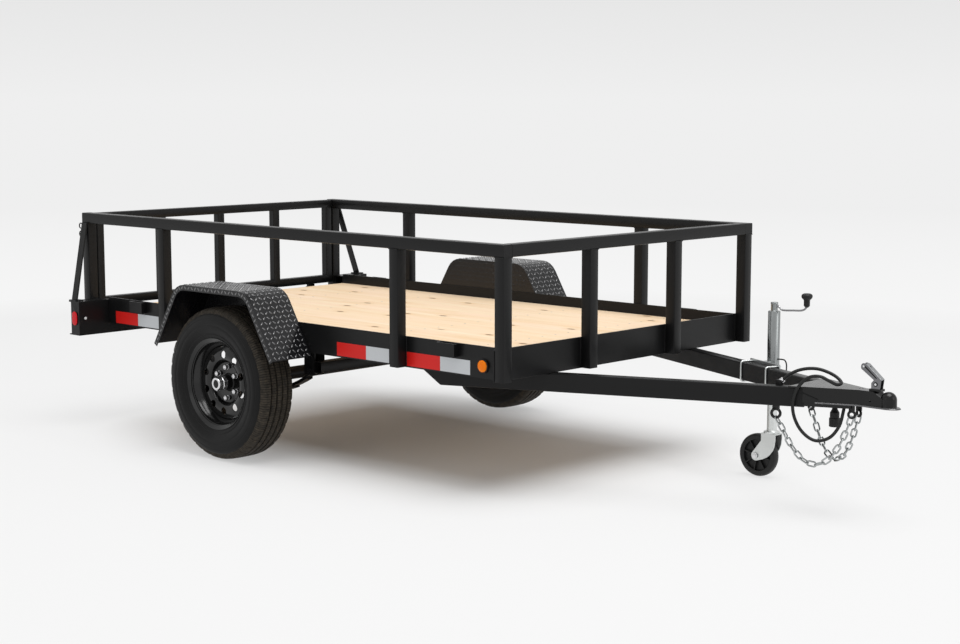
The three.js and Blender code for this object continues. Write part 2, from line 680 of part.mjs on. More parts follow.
function buildTongue() {
  for (const { name, sign } of sides) {
    const group = beamGroup(sign, spreadStation);
    const along = (x) => (x - spreadStation) / Math.cos(tongueAngle);
    const from = along(tongueRearStation);
    const to = along(tongueFrontStation);
    const tube = barAlongX(tubeSection(-tongueWidth / 2, (tongueTop + tongueBottom) / 2,
      tongueWidth, tongueHeight, tongueWall), from, to);
    const bevel = barAlongY(outline([
      [from - 1, tongueTop - tongueBevelEnd], [from - 1, tongueBottom - 1],
      [from + tongueBevel, tongueBottom - 1],
    ]), -tongueWidth - 1, 1);
    const beam = onSide(cut(tube, bevel), sign);
    const pieces = sign < 0 ? [beam, ...cableClip(group)] : [beam];
    add(`tongue_beam_${name}`, join(...pieces), finishes.blackPaint, group);
  }

  const width = (x) => tongueOuterAt(x) + 4;
  const plateRear = tongueFrontStation - 55;
  const neck = ballStation - 113;
  const neckHalf = couplerDome - 3;
  const wall = couplerWall;
  const plateTop = tongueTop + seam + wall;
  const lipZ = couplerLipHeight;
  const plan = (inset) => outline([
    [plateRear, -width(plateRear) + inset], [neck, -neckHalf + inset], [ballStation, -neckHalf + inset],
    [ballStation, neckHalf - inset], [neck, neckHalf - inset], [plateRear, width(plateRear) - inset],
  ]);
  const shellRear = tongueFrontStation + 25;
  const housing = cut(
    barAlongZ(plan(0), lipZ, plateTop),
    barAlongZ(plan(wall), lipZ - 1, plateTop - wall),
    block(plateRear - 1, shellRear, -railWidth, railWidth, lipZ - 1, plateTop - wall));
  const dome = new THREE.SphereGeometry(couplerDome, 16, 10).translate(ballStation, 0, ballHeight);
  const skirt = rod('z', lipZ, ballHeight, couplerDome, [ballStation, 0], 16);
  const socketRadius = ballRadius + ballClearance;
  const cavity = new THREE.SphereGeometry(socketRadius, 16, 10).translate(ballStation, 0, ballHeight);
  const mouth = rod('z', lipZ - 1, ballHeight, socketRadius, [ballStation, 0], 16);
  const lipReach = couplerDome + couplerLip;
  const lipStart = couplerNose - couplerLipStart;
  const lipRearHalf = neckHalf + (width(plateRear) - neckHalf) * (neck - lipStart) / (neck - plateRear)
    + couplerLipSide;
  const lipOutline = new THREE.Shape();
  lipOutline.moveTo(lipStart, -lipRearHalf);
  lipOutline.lineTo(neck, -neckHalf - couplerLipSide);
  lipOutline.lineTo(ballStation, -neckHalf - couplerLipSide);
  lipOutline.ellipse(0, neckHalf + couplerLipSide, lipReach, neckHalf + couplerLipSide,
    -Math.PI / 2, Math.PI / 2);
  lipOutline.lineTo(neck, neckHalf + couplerLipSide);
  lipOutline.lineTo(lipStart, lipRearHalf);
  const lip = cut(barAlongZ(lipOutline, lipZ, lipZ + 4, 8), barAlongZ(plan(wall), lipZ - 1, lipZ + wall));
  add('coupler', cut(join(housing, dome, skirt, lip), cavity, mouth), finishes.blackPaint);

  const pivotStation = ballStation - 60;
  const leverTop = [pivotStation - 52, 0, plateTop + 100];
  const lever = strut(outline([[-9, -16], [9, -16], [9, 16], [-9, 16]]),
    [pivotStation, 0, plateTop + 24], leverTop);
  const pivotBlock = block(pivotStation - 17, pivotStation + 17, -18, 18, plateTop + seam, plateTop + 35);
  add('coupler_latch', join(lever, pivotBlock), finishes.zinc);
}

// ---------------------------------------------------------------- jack

function buildJack() {
  const normal = [Math.sin(tongueAngle), Math.cos(tongueAngle)];
  const mountStation = jackStation - jackOffset * normal[0];
  const x = jackStation;
  const y = tongueOuterAt(mountStation) + jackOffset * normal[1];
  const group = beamGroup(1, mountStation);
  const bracketPlate = 7;
  const strapHalf = 5;
  const bracketEnd = 14;
  const strapStations = strapReaches.map((reach) => (x + reach - mountStation) / Math.cos(tongueAngle));
  const strapThickness = 8;
  const stubRadius = 16;
  const strapSection = tubeSection(-tongueWidth / 2, (tongueTop + tongueBottom) / 2,
    tongueWidth + 2 * (seam + strapThickness), tongueHeight + 2 * (seam + strapThickness),
    strapThickness, tubeCorner + strapThickness / 2);
  add('jack_bracket', join(
    block(strapStations[0] - bracketEnd, strapStations[1] + bracketEnd, seam, seam + bracketPlate,
      tongueBottom - 6, tongueTop + 3),
    rod('y', seam + 1, 20, stubRadius, [0, jackPivotHeight], 16),
    ...strapStations.map((station) => barAlongX(strapSection, station - strapHalf, station + strapHalf)),
  ), finishes.zinc, group);

  const flangeGap = Math.max(bracketPlate, strapThickness) + seam + 0.5;
  const flangeHalf = (jackOffset - flangeGap) / 2;
  const acrossBeam = (geometry, back) => geometry.rotateZ(-tongueAngle)
    .translate(x - normal[0] * back, y - normal[1] * back, jackPivotHeight);
  const flange = acrossBeam(new THREE.CylinderGeometry(44, 44, 2 * flangeHalf - jackTubeRadius, 24),
    jackOffset - flangeGap - flangeHalf + jackTubeRadius / 2);
  const boss = acrossBeam(new THREE.CylinderGeometry(30, 30, 2 * flangeHalf, 20), flangeHalf);
  const socket = acrossBeam(new THREE.CylinderGeometry(stubRadius + seam, stubRadius + seam, 42, 16), jackOffset);
  const bore = rod('z', jackTubeBottom - 1, jackTubeTop - 4, jackTubeRadius - jackTubeWall, [x, y], 24);
  const body = join(
    rod('z', jackTubeBottom, jackTubeTop, jackTubeRadius, [x, y], 24),
    rod('z', jackTubeTop - 1, jackCapTop, 17, [x, y], 20), flange, boss);
  add('jack_tube', cut(body, bore, socket), finishes.zinc);

  const crankStart = x + 17 + seam;
  const crankReach = 160;
  const crankHeight = jackTubeTop + 12;
  add('jack_crank', join(
    rod('x', crankStart, x + crankReach + 5, 5, [y, crankHeight], 8),
    rod('z', crankHeight - 4, crankHeight + 30, 5, [x + crankReach, y], 8),
    rod('z', crankHeight + 20, crankHeight + 53, 12, [x + crankReach, y], 12),
    rod('z', crankHeight + 50, crankHeight + 74, 20, [x + crankReach, y], 16),
  ), finishes.plastic);

  add('jack_leg', join(
    rod('z', casterTop + 7, jackLegTop, jackLegRadius, [x, y], 20),
    rod('z', casterTop + seam, casterTop + 8, 34, [x, y], 20),
  ), finishes.zinc);

  const axleX = x - casterTrail;
  const legInner = casterWidth / 2 + forkGap;
  const forkTop = casterTop;
  const forkHalf = 36;
  const forkEnd = 22;                                   // radius of the fork's end round the axle
  const forkSide = new THREE.Shape();
  forkSide.moveTo(x - forkHalf, forkTop);
  forkSide.lineTo(x - forkHalf, forkTop - 34);
  forkSide.absarc(axleX, casterRadius, forkEnd, Math.PI * 0.86, Math.PI * 1.62);
  forkSide.quadraticCurveTo(x + forkHalf - 2, casterRadius - 2, x + forkHalf, forkTop - 26);
  forkSide.lineTo(x + forkHalf, forkTop);
  add('caster_fork', join(
    block(x - forkHalf, x + forkHalf, y - legInner - forkPlate, y + legInner + forkPlate, forkTop - 5, forkTop),
    barAlongY(forkSide, y + legInner, y + legInner + forkPlate, 6),
    barAlongY(forkSide, y - legInner - forkPlate, y - legInner, 6),
    rod('y', y - legInner - forkPlate - 5, y + legInner + forkPlate + 5, 6, [axleX, casterRadius], 12),
  ), finishes.zinc);

  const casterFacets = 20;
  const facetRadius = casterRadius / Math.cos(Math.PI / casterFacets);
  const halfWidth = casterWidth / 2;
  add('caster_wheel', turned([
    [6.5, -halfWidth], [18, -halfWidth], [18, -8], [72, -8], [76, -halfWidth + 3], [facetRadius - 8, -halfWidth + 3],
    [facetRadius, -halfWidth + 12], [facetRadius, halfWidth - 12], [facetRadius - 8, halfWidth - 3],
    [76, halfWidth - 3], [72, 8], [18, 8], [18, halfWidth], [6.5, halfWidth],
  ], casterFacets, y, axleX, casterRadius), finishes.plastic);
}

// ---------------------------------------------------------------- tailgate

function buildGate() {
  const halfGate = halfRail - tubeSize - gateSideGap;
  const gateMiddle = halfTube;
  const solid = (centreA, centreB) => roundedRectangle(
    new THREE.Shape(), centreA, centreB, gateTube, gateTube, tubeCorner);
  const gateTop = railTop - gateTopGap;
  const upright = (y) => barAlongZ(solid(gateMiddle, y), gateBottom + 5, gateTop - 5);
  const pieces = [
    barAlongY(solid(gateMiddle, gateTop - gateTube / 2), -halfGate, halfGate),
    barAlongY(solid(gateMiddle, gateBottom + gateTube / 2), -halfGate, halfGate),
    ...[-1, -0.5, 0, 0.5, 1].map((share) => upright(share * (halfGate - gateTube / 2))),
  ];
  const knuckles = gateHingePlaces.map((y) => cut(join(
    rod('y', y - gateKnuckleHalf, y + gateKnuckleHalf, 11, [gateHinge.x, gateHinge.z], 14),
    block(gateHinge.x - 8, gateHinge.x + 8, y - gateKnuckleHalf, y + gateKnuckleHalf,
      gateHinge.z, gateBottom + 1)),
  rod('y', y - gateKnuckleHalf - 1, y + gateKnuckleHalf + 1, gatePinRadius + 0.4,
    [gateHinge.x, gateHinge.z], 12)));
  add('gate_frame', join(...pieces, ...knuckles), finishes.blackPaint);

  const loopWire = 3;
  const loopRadius = 13;
  const loopMiddle = loopRadius + loopWire - latchReach;
  const loopSide = halfRail + loopWire + seam;
  for (const { name, sign } of sides) {
    const loop = (z) => new THREE.TorusGeometry(loopRadius, loopWire, 6, 12)
      .rotateX(Math.PI / 2).translate(loopMiddle, loopSide, z);
    const highLoop = railTop - 65;
    const lowLoop = railTop - 105;
    const pin = rod('z', lowLoop - 5, highLoop, 4, [loopMiddle + loopRadius, loopSide + 1], 8);
    add(`gate_latch_${name}`, onSide(join(loop(highLoop), loop(lowLoop), pin), sign), finishes.plastic);
  }
}

// ---------------------------------------------------------------- chains and cable

const chainWire = 7;
const chainInside = 30;           // inside length of a link
const chainRingRadius = 17;

/** Links along a curve, alternately turned, each biting a little into the next. */
function chainLinks(points) {
  const curve = new THREE.CatmullRomCurve3(points.map((point) => new THREE.Vector3(...point)));
  const bend = chainWire * 1.4;
  const straight = chainInside / 2 + chainWire / 2 - bend;
  const pitch = 2 * (straight + bend) - chainWire * 0.75;
  const count = Math.round(curve.getLength() / pitch);
  return Array.from({ length: count }, (_, index) => {
    const at = (index + 0.5) / count;
    const tangent = curve.getTangentAt(at);
    const across = new THREE.Vector3(0.4, 1, 0).cross(tangent).normalize();
    const other = new THREE.Vector3().crossVectors(tangent, across);
    const [flat, thin] = index % 2 ? [across, other] : [other, across.negate()];
    const link = new THREE.TorusGeometry(bend, chainWire / 2, 4, 6);
    const position = link.attributes.position;
    for (let i = 0; i < position.count; i += 1) {
      position.setX(i, position.getX(i) + Math.sign(position.getX(i)) * straight);
    }
    return orient(link, tangent.toArray(), flat.toArray(), thin.toArray(), curve.getPointAt(at).toArray());
  });
}

function buildChains() {
  const ringX = tongueFrontStation - 113;
  const ringY = tongueOuterAt(ringX) - tongueWidth / 2 - 2;
  const ringZ = tongueBottom - 33.5;
  const eyeX = ballStation - 143;
  const eyeY = 26;
  const eyeZ = couplerLipHeight - 30;
  const ring = (x, y, z, radius, wire) => new THREE.TorusGeometry(radius, wire, 5, 10)
    .rotateX(Math.PI / 2).rotateZ(-tongueAngle).translate(x, y, z);
  // along: share of the way from ring to eye; height: above the ground
  const hang = [
    { along: 0.083, height: 340 }, { along: 0.223, height: 268 }, { along: 0.389, height: 217 },
    { along: 0.525, height: 205 }, { along: 0.683, height: 222 }, { along: 0.827, height: 275 },
    { along: 0.935, height: 345 },
  ];
  for (const { name, sign } of sides) {
    const stem = block(ringX - 7, ringX + 7, ringY - 7, ringY + 7, ringZ + chainRingRadius - 3, tongueBottom - seam);
    const lug = block(eyeX - 8, eyeX + 8, eyeY - 6, eyeY + 2.6, eyeZ + 8, tongueTop - 5);
    const links = chainLinks([
      [ringX, ringY, ringZ - chainRingRadius + 3],
      ...hang.map(({ along, height }) => [
        ringX + along * (eyeX - ringX), ringY + along * (eyeY - ringY), height]),
      [eyeX, eyeY, eyeZ - 10],
    ]);
    const chain = outerBody(join(ring(ringX, ringY, ringZ, chainRingRadius, 4.5), stem,
      ring(eyeX, eyeY, eyeZ, 12, 4), lug, ...links));
    add(`safety_chain_${name}`, onSide(chain, sign), finishes.zinc);
  }
}

/** The route of the wiring cable, from its clip on the right beam to the plug: back from the nose, sideways, up. */
const cableRoute = [
  [459, -94, 527], [442, -87, 543], [412, -74, 562], [376, -59, 573], [338, -42, 574], [300, -26, 563],
  [266, -16, 545], [242, -24, 528], [244, -52, 524], [264, -74, 538], [296, -90, 554], [334, -106, 549],
  [364, -125, 518], [380, -136, 478], [386, -138, 434], [374, -136, 382], [342, -128, 334],
  [296, -114, 308], [252, -88, 320], [228, -58, 362], [222, -40, 414], [228, -22, 452], [254, 2, 474],
  [290, 26, 466], [302, 31, 446], [302, 31, 424],
].map(([back, y, z]) => [couplerNose - back, y, z]);
const cableDiameter = 13;
const clipLength = 26;
const plugTop = 404;

/** The clip that holds the cable's start on the right beam's top, in the beam's own group. */
function cableClip(group) {
  const start = new THREE.Vector3(...cableRoute[0]);
  const tangent = new THREE.Vector3(...cableRoute[1]).sub(start).normalize();
  const front = start.clone().addScaledVector(tangent, -seam);
  const back = front.clone().addScaledVector(tangent, -clipLength);
  group.updateMatrix();
  const inGroup = group.matrix.clone().invert();
  const sleeve = strut(roundSection(0, 0, cableDiameter / 2 + 3.5), back.toArray(), front.toArray(), 8)
    .applyMatrix4(inGroup);
  const foot = new THREE.BoxGeometry(24, 16, 24)
    .translate(back.x + 6, back.y - 2, tongueTop + 8).applyMatrix4(inGroup);
  return [sleeve, foot];
}

function buildCable() {
  const points = cableRoute.map((point) => new THREE.Vector3(...point));
  const route = new THREE.CatmullRomCurve3(points, false, 'centripetal');
  const section = roundSection(0, 0, cableDiameter / 2);
  add('wiring_cable', new THREE.ExtrudeGeometry(
    section, { steps: 48, extrudePath: route, curveSegments: 4 }), finishes.rubber);
  const [endX, endY, endZ] = cableRoute[cableRoute.length - 1];
  add('wiring_plug', join(
    rod('z', plugTop, endZ - 1, 11, [endX, endY], 14),
    rod('z', plugTop - 62, plugTop + 1, 22, [endX, endY], 20)), finishes.plastic);
}

buildFrame();
buildBumper();
buildRack();
buildRunningGear();
buildFenders();
buildWheels();
buildTongue();
buildJack();
buildGate();
buildChains();
buildCable();

const object = new THREE.Group();
vehicle.position.x = -(couplerNose - latchReach) / 2;
object.add(vehicle);

export default object;
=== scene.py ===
"""Looks of a single-axle utility trailer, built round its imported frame.

Metres, +X forward to the coupler, +Y to the left side, +Z up, with the origin on the ground
under the middle of the whole trailer.
"""

import json
import logging
import math
from dataclasses import dataclass, field
from enum import Enum
from typing import Sequence

import bmesh
import bpy
from mathutils import Matrix, Vector

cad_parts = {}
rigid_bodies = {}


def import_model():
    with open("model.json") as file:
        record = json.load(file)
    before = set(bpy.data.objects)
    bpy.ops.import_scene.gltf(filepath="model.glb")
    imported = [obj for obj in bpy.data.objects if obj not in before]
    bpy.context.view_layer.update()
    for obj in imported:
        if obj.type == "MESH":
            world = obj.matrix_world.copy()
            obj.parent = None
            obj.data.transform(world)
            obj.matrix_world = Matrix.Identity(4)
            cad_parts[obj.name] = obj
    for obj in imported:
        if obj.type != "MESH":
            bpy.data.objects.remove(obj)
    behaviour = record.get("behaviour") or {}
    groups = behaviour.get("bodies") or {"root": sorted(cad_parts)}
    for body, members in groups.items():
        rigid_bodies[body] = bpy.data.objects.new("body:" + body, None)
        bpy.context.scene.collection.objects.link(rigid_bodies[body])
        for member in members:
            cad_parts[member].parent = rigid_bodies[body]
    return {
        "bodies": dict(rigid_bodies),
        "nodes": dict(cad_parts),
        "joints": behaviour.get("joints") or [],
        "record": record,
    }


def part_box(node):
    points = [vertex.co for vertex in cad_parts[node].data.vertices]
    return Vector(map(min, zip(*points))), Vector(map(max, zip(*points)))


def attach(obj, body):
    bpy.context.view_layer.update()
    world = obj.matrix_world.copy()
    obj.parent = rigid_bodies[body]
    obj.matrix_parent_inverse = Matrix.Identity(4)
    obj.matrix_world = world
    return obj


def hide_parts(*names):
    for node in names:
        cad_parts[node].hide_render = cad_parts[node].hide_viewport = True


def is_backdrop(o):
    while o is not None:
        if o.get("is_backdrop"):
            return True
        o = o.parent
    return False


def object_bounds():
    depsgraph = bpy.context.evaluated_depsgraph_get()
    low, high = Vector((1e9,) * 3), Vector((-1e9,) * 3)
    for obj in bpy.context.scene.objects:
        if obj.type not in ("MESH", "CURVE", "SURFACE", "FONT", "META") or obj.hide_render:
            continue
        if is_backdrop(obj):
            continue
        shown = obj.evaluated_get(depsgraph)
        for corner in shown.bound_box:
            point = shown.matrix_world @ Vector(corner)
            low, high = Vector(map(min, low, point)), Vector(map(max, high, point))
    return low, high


log = logging.getLogger("trailer")

Point = Sequence[float]
Triple = tuple[float, float, float]
Colour = Triple
Pairs = Sequence[tuple[float, float]]
Place = tuple[Point, Point, float]
Socket = bpy.types.NodeSocket
Node = bpy.types.Node
Mesh = bpy.types.Mesh
Piece = bpy.types.Object

MM = 0.001
BEAM_SLOPE = 0.418  # a tongue beam's sideways run for each metre forward
RAIL_FACE = 0.7869  # Y of a side rail's outer face


class Side(Enum):
    """A side of the trailer, with the sign of its Y."""

    LEFT = 1.0
    RIGHT = -1.0

    def of(self, stem: str) -> str:
        """The name of this side's node or piece."""
        return f"{stem}_{self.name.lower()}"


class Axis(Enum):
    """The axis that a profile is turned round."""

    X = 0
    Y = 1
    Z = 2


class Body(Enum):
    """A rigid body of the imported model."""

    CHASSIS = "chassis"
    TAILGATE = "tailgate"
    WHEEL_LEFT = "wheel_left"
    WHEEL_RIGHT = "wheel_right"
    JACK = "jack"
    JACK_LEG = "jack_leg"
    CASTER = "caster"
    CASTER_WHEEL = "caster_wheel"


class Slot(Enum):
    """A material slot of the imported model."""

    BLACK_PAINT = "black_paint"
    TREAD_PLATE = "tread_plate"
    DECK_WOOD = "deck_wood"
    TYRE_RUBBER = "tyre_rubber"
    ZINC_PLATE = "zinc_plate"
    BLACK_PLASTIC = "black_plastic"
    CABLE_RUBBER = "cable_rubber"
    RED_LENS = "red_lens"


# ---- finishes


class Tree:
    """A node tree, wired by plain calls."""

    def __init__(self, tree: bpy.types.NodeTree) -> None:
        """Keeps the tree's nodes and links."""
        self.nodes = tree.nodes
        self.links = tree.links

    def node(self, kind: str, settings: dict | None = None, **inputs: object) -> Node:
        """Adds a node.

        Args:
            kind: The node's type.
            settings: Properties of the node itself.
            inputs: Values or sockets for its inputs, by name, with _ for a space.

        Returns:
            The node.
        """
        made = self.nodes.new(kind)
        for key, value in (settings or {}).items():
            setattr(made, key, value)
        for key, value in inputs.items():
            self.feed(made.inputs[key.replace("_", " ")], value)
        return made

    def feed(self, socket: Socket, value: object) -> None:
        """Links a socket into an input, or sets the input's own value.

        Args:
            socket: The input.
            value: A socket or a value.
        """
        if isinstance(value, Socket):
            self.links.new(value, socket)
        else:
            socket.default_value = value

    def numbered(self, kind: str, settings: dict, inputs: dict[int, object]) -> Node:
        """Adds a node whose inputs are told by number.

        Args:
            kind: The node's type.
            settings: Properties of the node itself.
            inputs: Values or sockets for its inputs.

        Returns:
            The node.
        """
        made = self.node(kind, settings)
        for index, value in inputs.items():
            self.feed(made.inputs[index], value)
        return made

    def sums(self, operation: str, first: object, second: object = 0.0) -> Socket:
        """A Math node's result for one or two values or sockets."""
        return self.numbered("ShaderNodeMath", {"operation": operation}, {0: first, 1: second}).outputs[0]

    def mixed(self, factor: object, first: object, second: object) -> Socket:
        """The colour between two, where the factor is the second one's share."""
        inputs = {0: factor, 6: first, 7: second}
        return self.numbered("ShaderNodeMix", {"data_type": "RGBA"}, inputs).outputs[2]

    def blended(self, factor: Socket, first: Node, second: Node) -> Socket:
        """The shader between two, where the factor is the second one's share."""
        inputs = {0: factor, 1: first.outputs[0], 2: second.outputs[0]}
        return self.numbered("ShaderNodeMixShader", {}, inputs).outputs[0]


class Sheet(Tree):
    """The node tree of one opaque material."""

    def __init__(self, name: str) -> None:
        """Starts the material.

        Args:
            name: The material's name.
        """
        self.material = bpy.data.materials.new(name)
        self.material.use_nodes = True
        super().__init__(self.material.node_tree)
        self.shader = self.nodes["Principled BSDF"]
        self.coords = self.node("ShaderNodeTexCoord")
        self.place = self.coords.outputs["Object"]

    def stretched(self, scale: Point, source: Socket | None = None) -> Socket:
        """Coordinates multiplied by a scale along each axis."""
        mapping = self.node("ShaderNodeMapping", Vector=source or self.place, Scale=tuple(scale))
        return mapping.outputs["Vector"]

    def noise(self, scale: float, detail: float = 3.0, stretch: Point = (1, 1, 1),
              source: Socket | None = None) -> Socket:
        """A cloudy factor from 0 to 1, from a source or the object's coordinates, stretched by axis."""
        place = self.stretched(stretch, source)
        return self.node("ShaderNodeTexNoise", Vector=place, Scale=scale, Detail=detail).outputs["Fac"]

    def span(self, factor: object, low: float, high: float, to_low: float = 0.0,
             to_high: float = 1.0) -> Socket:
        """A factor with the range from low to high mapped to another, and clamped."""
        limits = {"From_Min": low, "From_Max": high, "To_Min": to_low, "To_Max": to_high}
        return self.node("ShaderNodeMapRange", Value=factor, **limits).outputs["Result"]

    def vectors(self, operation: str, first: object, second: object = (0.0, 0.0, 0.0)) -> Node:
        """A Vector Math node that works on one or two vectors or sockets."""
        return self.numbered("ShaderNodeVectorMath", {"operation": operation}, {0: first, 1: second})

    def bump(self, height: Socket, distance: float) -> None:
        """Sends a height into the shader's normal, on top of any bump that is there.

        Args:
            height: The height.
            distance: How far its full range reaches.
        """
        made = self.node("ShaderNodeBump", Height=height, Distance=distance, Strength=1.0)
        for link in self.shader.inputs["Normal"].links:
            self.links.new(link.from_socket, made.inputs["Normal"])
        self.links.new(made.outputs["Normal"], self.shader.inputs["Normal"])

    def set(self, **inputs: object) -> None:
        """Sets the shader's own inputs, by name, with _ for a space."""
        for key, value in inputs.items():
            self.feed(self.shader.inputs[key.replace("_", " ")], value)


def colour(red: float, green: float, blue: float) -> tuple[float, float, float, float]:
    """A linear colour with full alpha."""
    return (red, green, blue, 1.0)


@dataclass(frozen=True)
class Finish:
    """A surface finish, made into a material once."""

    name: str
    slot: Slot
    base: Colour
    roughness: float

    def paint(self, sheet: Sheet) -> None:
        """Fills in the material's nodes."""
        sheet.set(Base_Color=colour(*self.base), Roughness=self.roughness)

    def tinted(self, red: float, green: float, blue: float) -> tuple[float, float, float, float]:
        """The base colour with its channels multiplied."""
        return colour(self.base[0] * red, self.base[1] * green, self.base[2] * blue)

    def material(self) -> bpy.types.Material:
        """The material, made at the first call.

        Returns:
            The material.
        """
        label = f"{self.name}_finish"
        found = bpy.data.materials.get(label)
        if found:
            return found
        sheet = Sheet(label)
        self.paint(sheet)
        return sheet.material


@dataclass(frozen=True)
class SatinPaint(Finish):
    """Powder coat with a fine orange peel and slight changes of gloss."""

    peel: float = 0.00012
    index: float = 1.30
    gloss_change: float = 0.05

    def paint(self, sheet: Sheet) -> None:
        """Fills in the material's nodes.

        Args:
            sheet: The material's node tree.
        """
        cloud = sheet.noise(2.2, 4)
        grain = sheet.noise(420, 2)
        tone = sheet.mixed(cloud, colour(*self.base), self.tinted(1.25, 1.25, 1.25))
        sheet.set(Base_Color=tone, IOR=self.index)
        low, high = self.roughness - self.gloss_change, self.roughness + self.gloss_change
        sheet.set(Roughness=sheet.span(sheet.noise(9, 3), 0.3, 0.7, low, high))
        sheet.bump(grain, self.peel)


@dataclass(frozen=True)
class BarePlate(Finish):
    """Bright plated or turned metal with faint clouding and fine scratches; its optional dark streaks are
    painted reflections.
    """

    brushed: float = 0.06
    # streak: share of the dark streaks, which are painted reflections of dark things round the metal; the
    # colour after it is theirs.
    streak: float = 0.0
    reflection_tone: Colour = (0.08, 0.08, 0.08)

    def paint(self, sheet: Sheet) -> None:
        """Fills in the material's nodes.

        Args:
            sheet: The material's node tree.
        """
        cloud = sheet.noise(14, 4)
        fine = sheet.noise(220, 2, (1, 1, 0.08))
        tone = sheet.mixed(cloud, self.tinted(0.82, 0.82, 0.82), colour(*self.base))
        # Painted reflections: dark streaks along Z stand in for the dark things that the metal mirrors.
        if self.streak > 0:
            wide = sheet.span(sheet.noise(75, 2, (1, 1, 0.02)), 0.38, 0.62, 0.0, self.streak)
            tone = sheet.mixed(wide, tone, colour(*self.reflection_tone))
        sheet.set(Base_Color=tone, Metallic=1.0)
        low, high = self.roughness - self.brushed, self.roughness + self.brushed
        sheet.set(Roughness=sheet.span(fine, 0.3, 0.7, low, high))
        sheet.bump(fine, 0.00004)


@dataclass(frozen=True)
class DeckTimber(Finish):
    """Planed softwood boards with streaked grain and small knots."""

    knot: Colour = (0.17, 0.085, 0.04)

    def paint(self, sheet: Sheet) -> None:
        """Fills in the material's nodes.

        Args:
            sheet: The material's node tree.
        """
        board = sheet.node("ShaderNodeAttribute", {"attribute_name": "board"}).outputs["Fac"]
        offset = sheet.node("ShaderNodeCombineXYZ", X=sheet.sums("MULTIPLY", board, 37.0),
                            Y=sheet.sums("MULTIPLY", board, 11.0))
        place = sheet.vectors("ADD", sheet.place, offset.outputs[0]).outputs[0]

        wide = sheet.noise(1.0, 4.0, (0.9, 16, 16), place)
        fine = sheet.noise(1.0, 2.0, (3, 150, 150), place)
        line = self.tinted(0.82, 0.66, 0.47)
        tone = sheet.mixed(sheet.span(wide, 0.36, 0.68), colour(*self.base), self.tinted(0.93, 0.80, 0.64))
        tone = sheet.mixed(sheet.span(fine, 0.50, 0.68, 0.0, 0.85), tone, line)
        patch = sheet.noise(1.0, 3.0, (2.2, 7, 7), place)
        tone = sheet.mixed(sheet.span(patch, 0.46, 0.60, 0.0, 0.65), tone, self.tinted(0.99, 0.90, 0.90))
        tone = sheet.mixed(sheet.sums("MULTIPLY", board, 0.7), tone, self.tinted(0.97, 0.90, 0.82))

        cells = sheet.node("ShaderNodeTexVoronoi", {"voronoi_dimensions": "2D"},
                           Vector=sheet.stretched((2.6, 5.6, 1), place), Scale=1.0)
        lucky = sheet.node("ShaderNodeSeparateColor", Color=cells.outputs["Color"])
        chosen = sheet.span(lucky.outputs[0], 0.38, 0.40)
        reach = cells.outputs["Distance"]
        halo = sheet.sums("MULTIPLY", sheet.span(reach, 0.045, 0.18, 0.60, 0.0), chosen)
        core = sheet.sums("MULTIPLY", sheet.span(reach, 0.045, 0.070, 0.96, 0.0), chosen)
        tone = sheet.mixed(halo, tone, line)
        tone = sheet.mixed(core, tone, colour(*self.knot))
        sheet.set(Base_Color=tone, Roughness=self.roughness, Specular_IOR_Level=0.2)
        sheet.bump(fine, 0.0004)


@dataclass(frozen=True)
class TyreRubber(Finish):
    """Matt black rubber, a little dusty and finely cut on the tread, with painted shade in the cuts."""

    dust: float = 0.0
    sipes: float = 0.0
    worn: Colour = (0.022, 0.022, 0.022)
    brown: Colour = (0.105, 0.085, 0.062)
    # The colour of the sipes: painted shade inside the cuts.
    sipe_shade: Colour = (0.001, 0.001, 0.001)

    def paint(self, sheet: Sheet) -> None:
        """Fills in the material's nodes.

        Args:
            sheet: The material's node tree.
        """
        cloud = sheet.span(sheet.noise(7, 5), 0.38, 0.72, 0.0, 0.25)
        tone = sheet.mixed(cloud, colour(*self.base), colour(*self.worn))
        dust = sheet.span(sheet.noise(60, 4), 0.2, 0.8, 0.0, self.dust)
        tone = sheet.mixed(dust, tone, colour(*self.brown))
        sheet.bump(sheet.noise(300, 3), 0.0002)
        if self.sipes > 0:
            wave = sheet.node("ShaderNodeTexWave", {"bands_direction": "X", "wave_profile": "SIN"},
                              Vector=sheet.coords.outputs["UV"], Scale=self.sipes, Distortion=1.2)
            cut = sheet.span(wave.outputs["Fac"], 0.0, 0.12)
            # The cuts are drawn nearly black as painted shade, besides their bump.
            tone = sheet.mixed(cut, colour(*self.sipe_shade), tone)
            sheet.bump(cut, 0.003)
        sheet.set(Base_Color=tone, Roughness=self.roughness, IOR=1.25)


@dataclass(frozen=True)
class MouldedPlastic(Finish):
    """Dark moulded plastic or rubber with a fine grain."""

    grain: float = 0.00015

    def paint(self, sheet: Sheet) -> None:
        """Fills in the material's nodes.

        Args:
            sheet: The material's node tree.
        """
        tone = sheet.mixed(sheet.noise(12, 3), colour(*self.base), self.tinted(1.4, 1.4, 1.4))
        sheet.set(Base_Color=tone, Roughness=self.roughness, IOR=1.36)
        sheet.bump(sheet.noise(650, 2), self.grain)


@dataclass(frozen=True)
class LampLens(Finish):
    """A moulded lens with small prisms behind a smooth face."""

    deep: Colour = (0.3, 0.0, 0.0)
    prism: float = 150.0

    def paint(self, sheet: Sheet) -> None:
        """Fills in the material's nodes.

        Args:
            sheet: The material's node tree.
        """
        cells = sheet.node("ShaderNodeTexVoronoi", {"distance": "CHEBYCHEV"}, Vector=sheet.place,
                           Scale=self.prism, Randomness=0.15)
        reach = cells.outputs["Distance"]
        tone = sheet.mixed(sheet.span(reach, 0.1, 0.75), colour(*self.base), colour(*self.deep))
        sheet.set(Base_Color=tone, Roughness=self.roughness, IOR=1.22)
        sheet.set(Coat_Weight=0.12, Coat_Roughness=0.04)
        sheet.bump(reach, 0.0006)


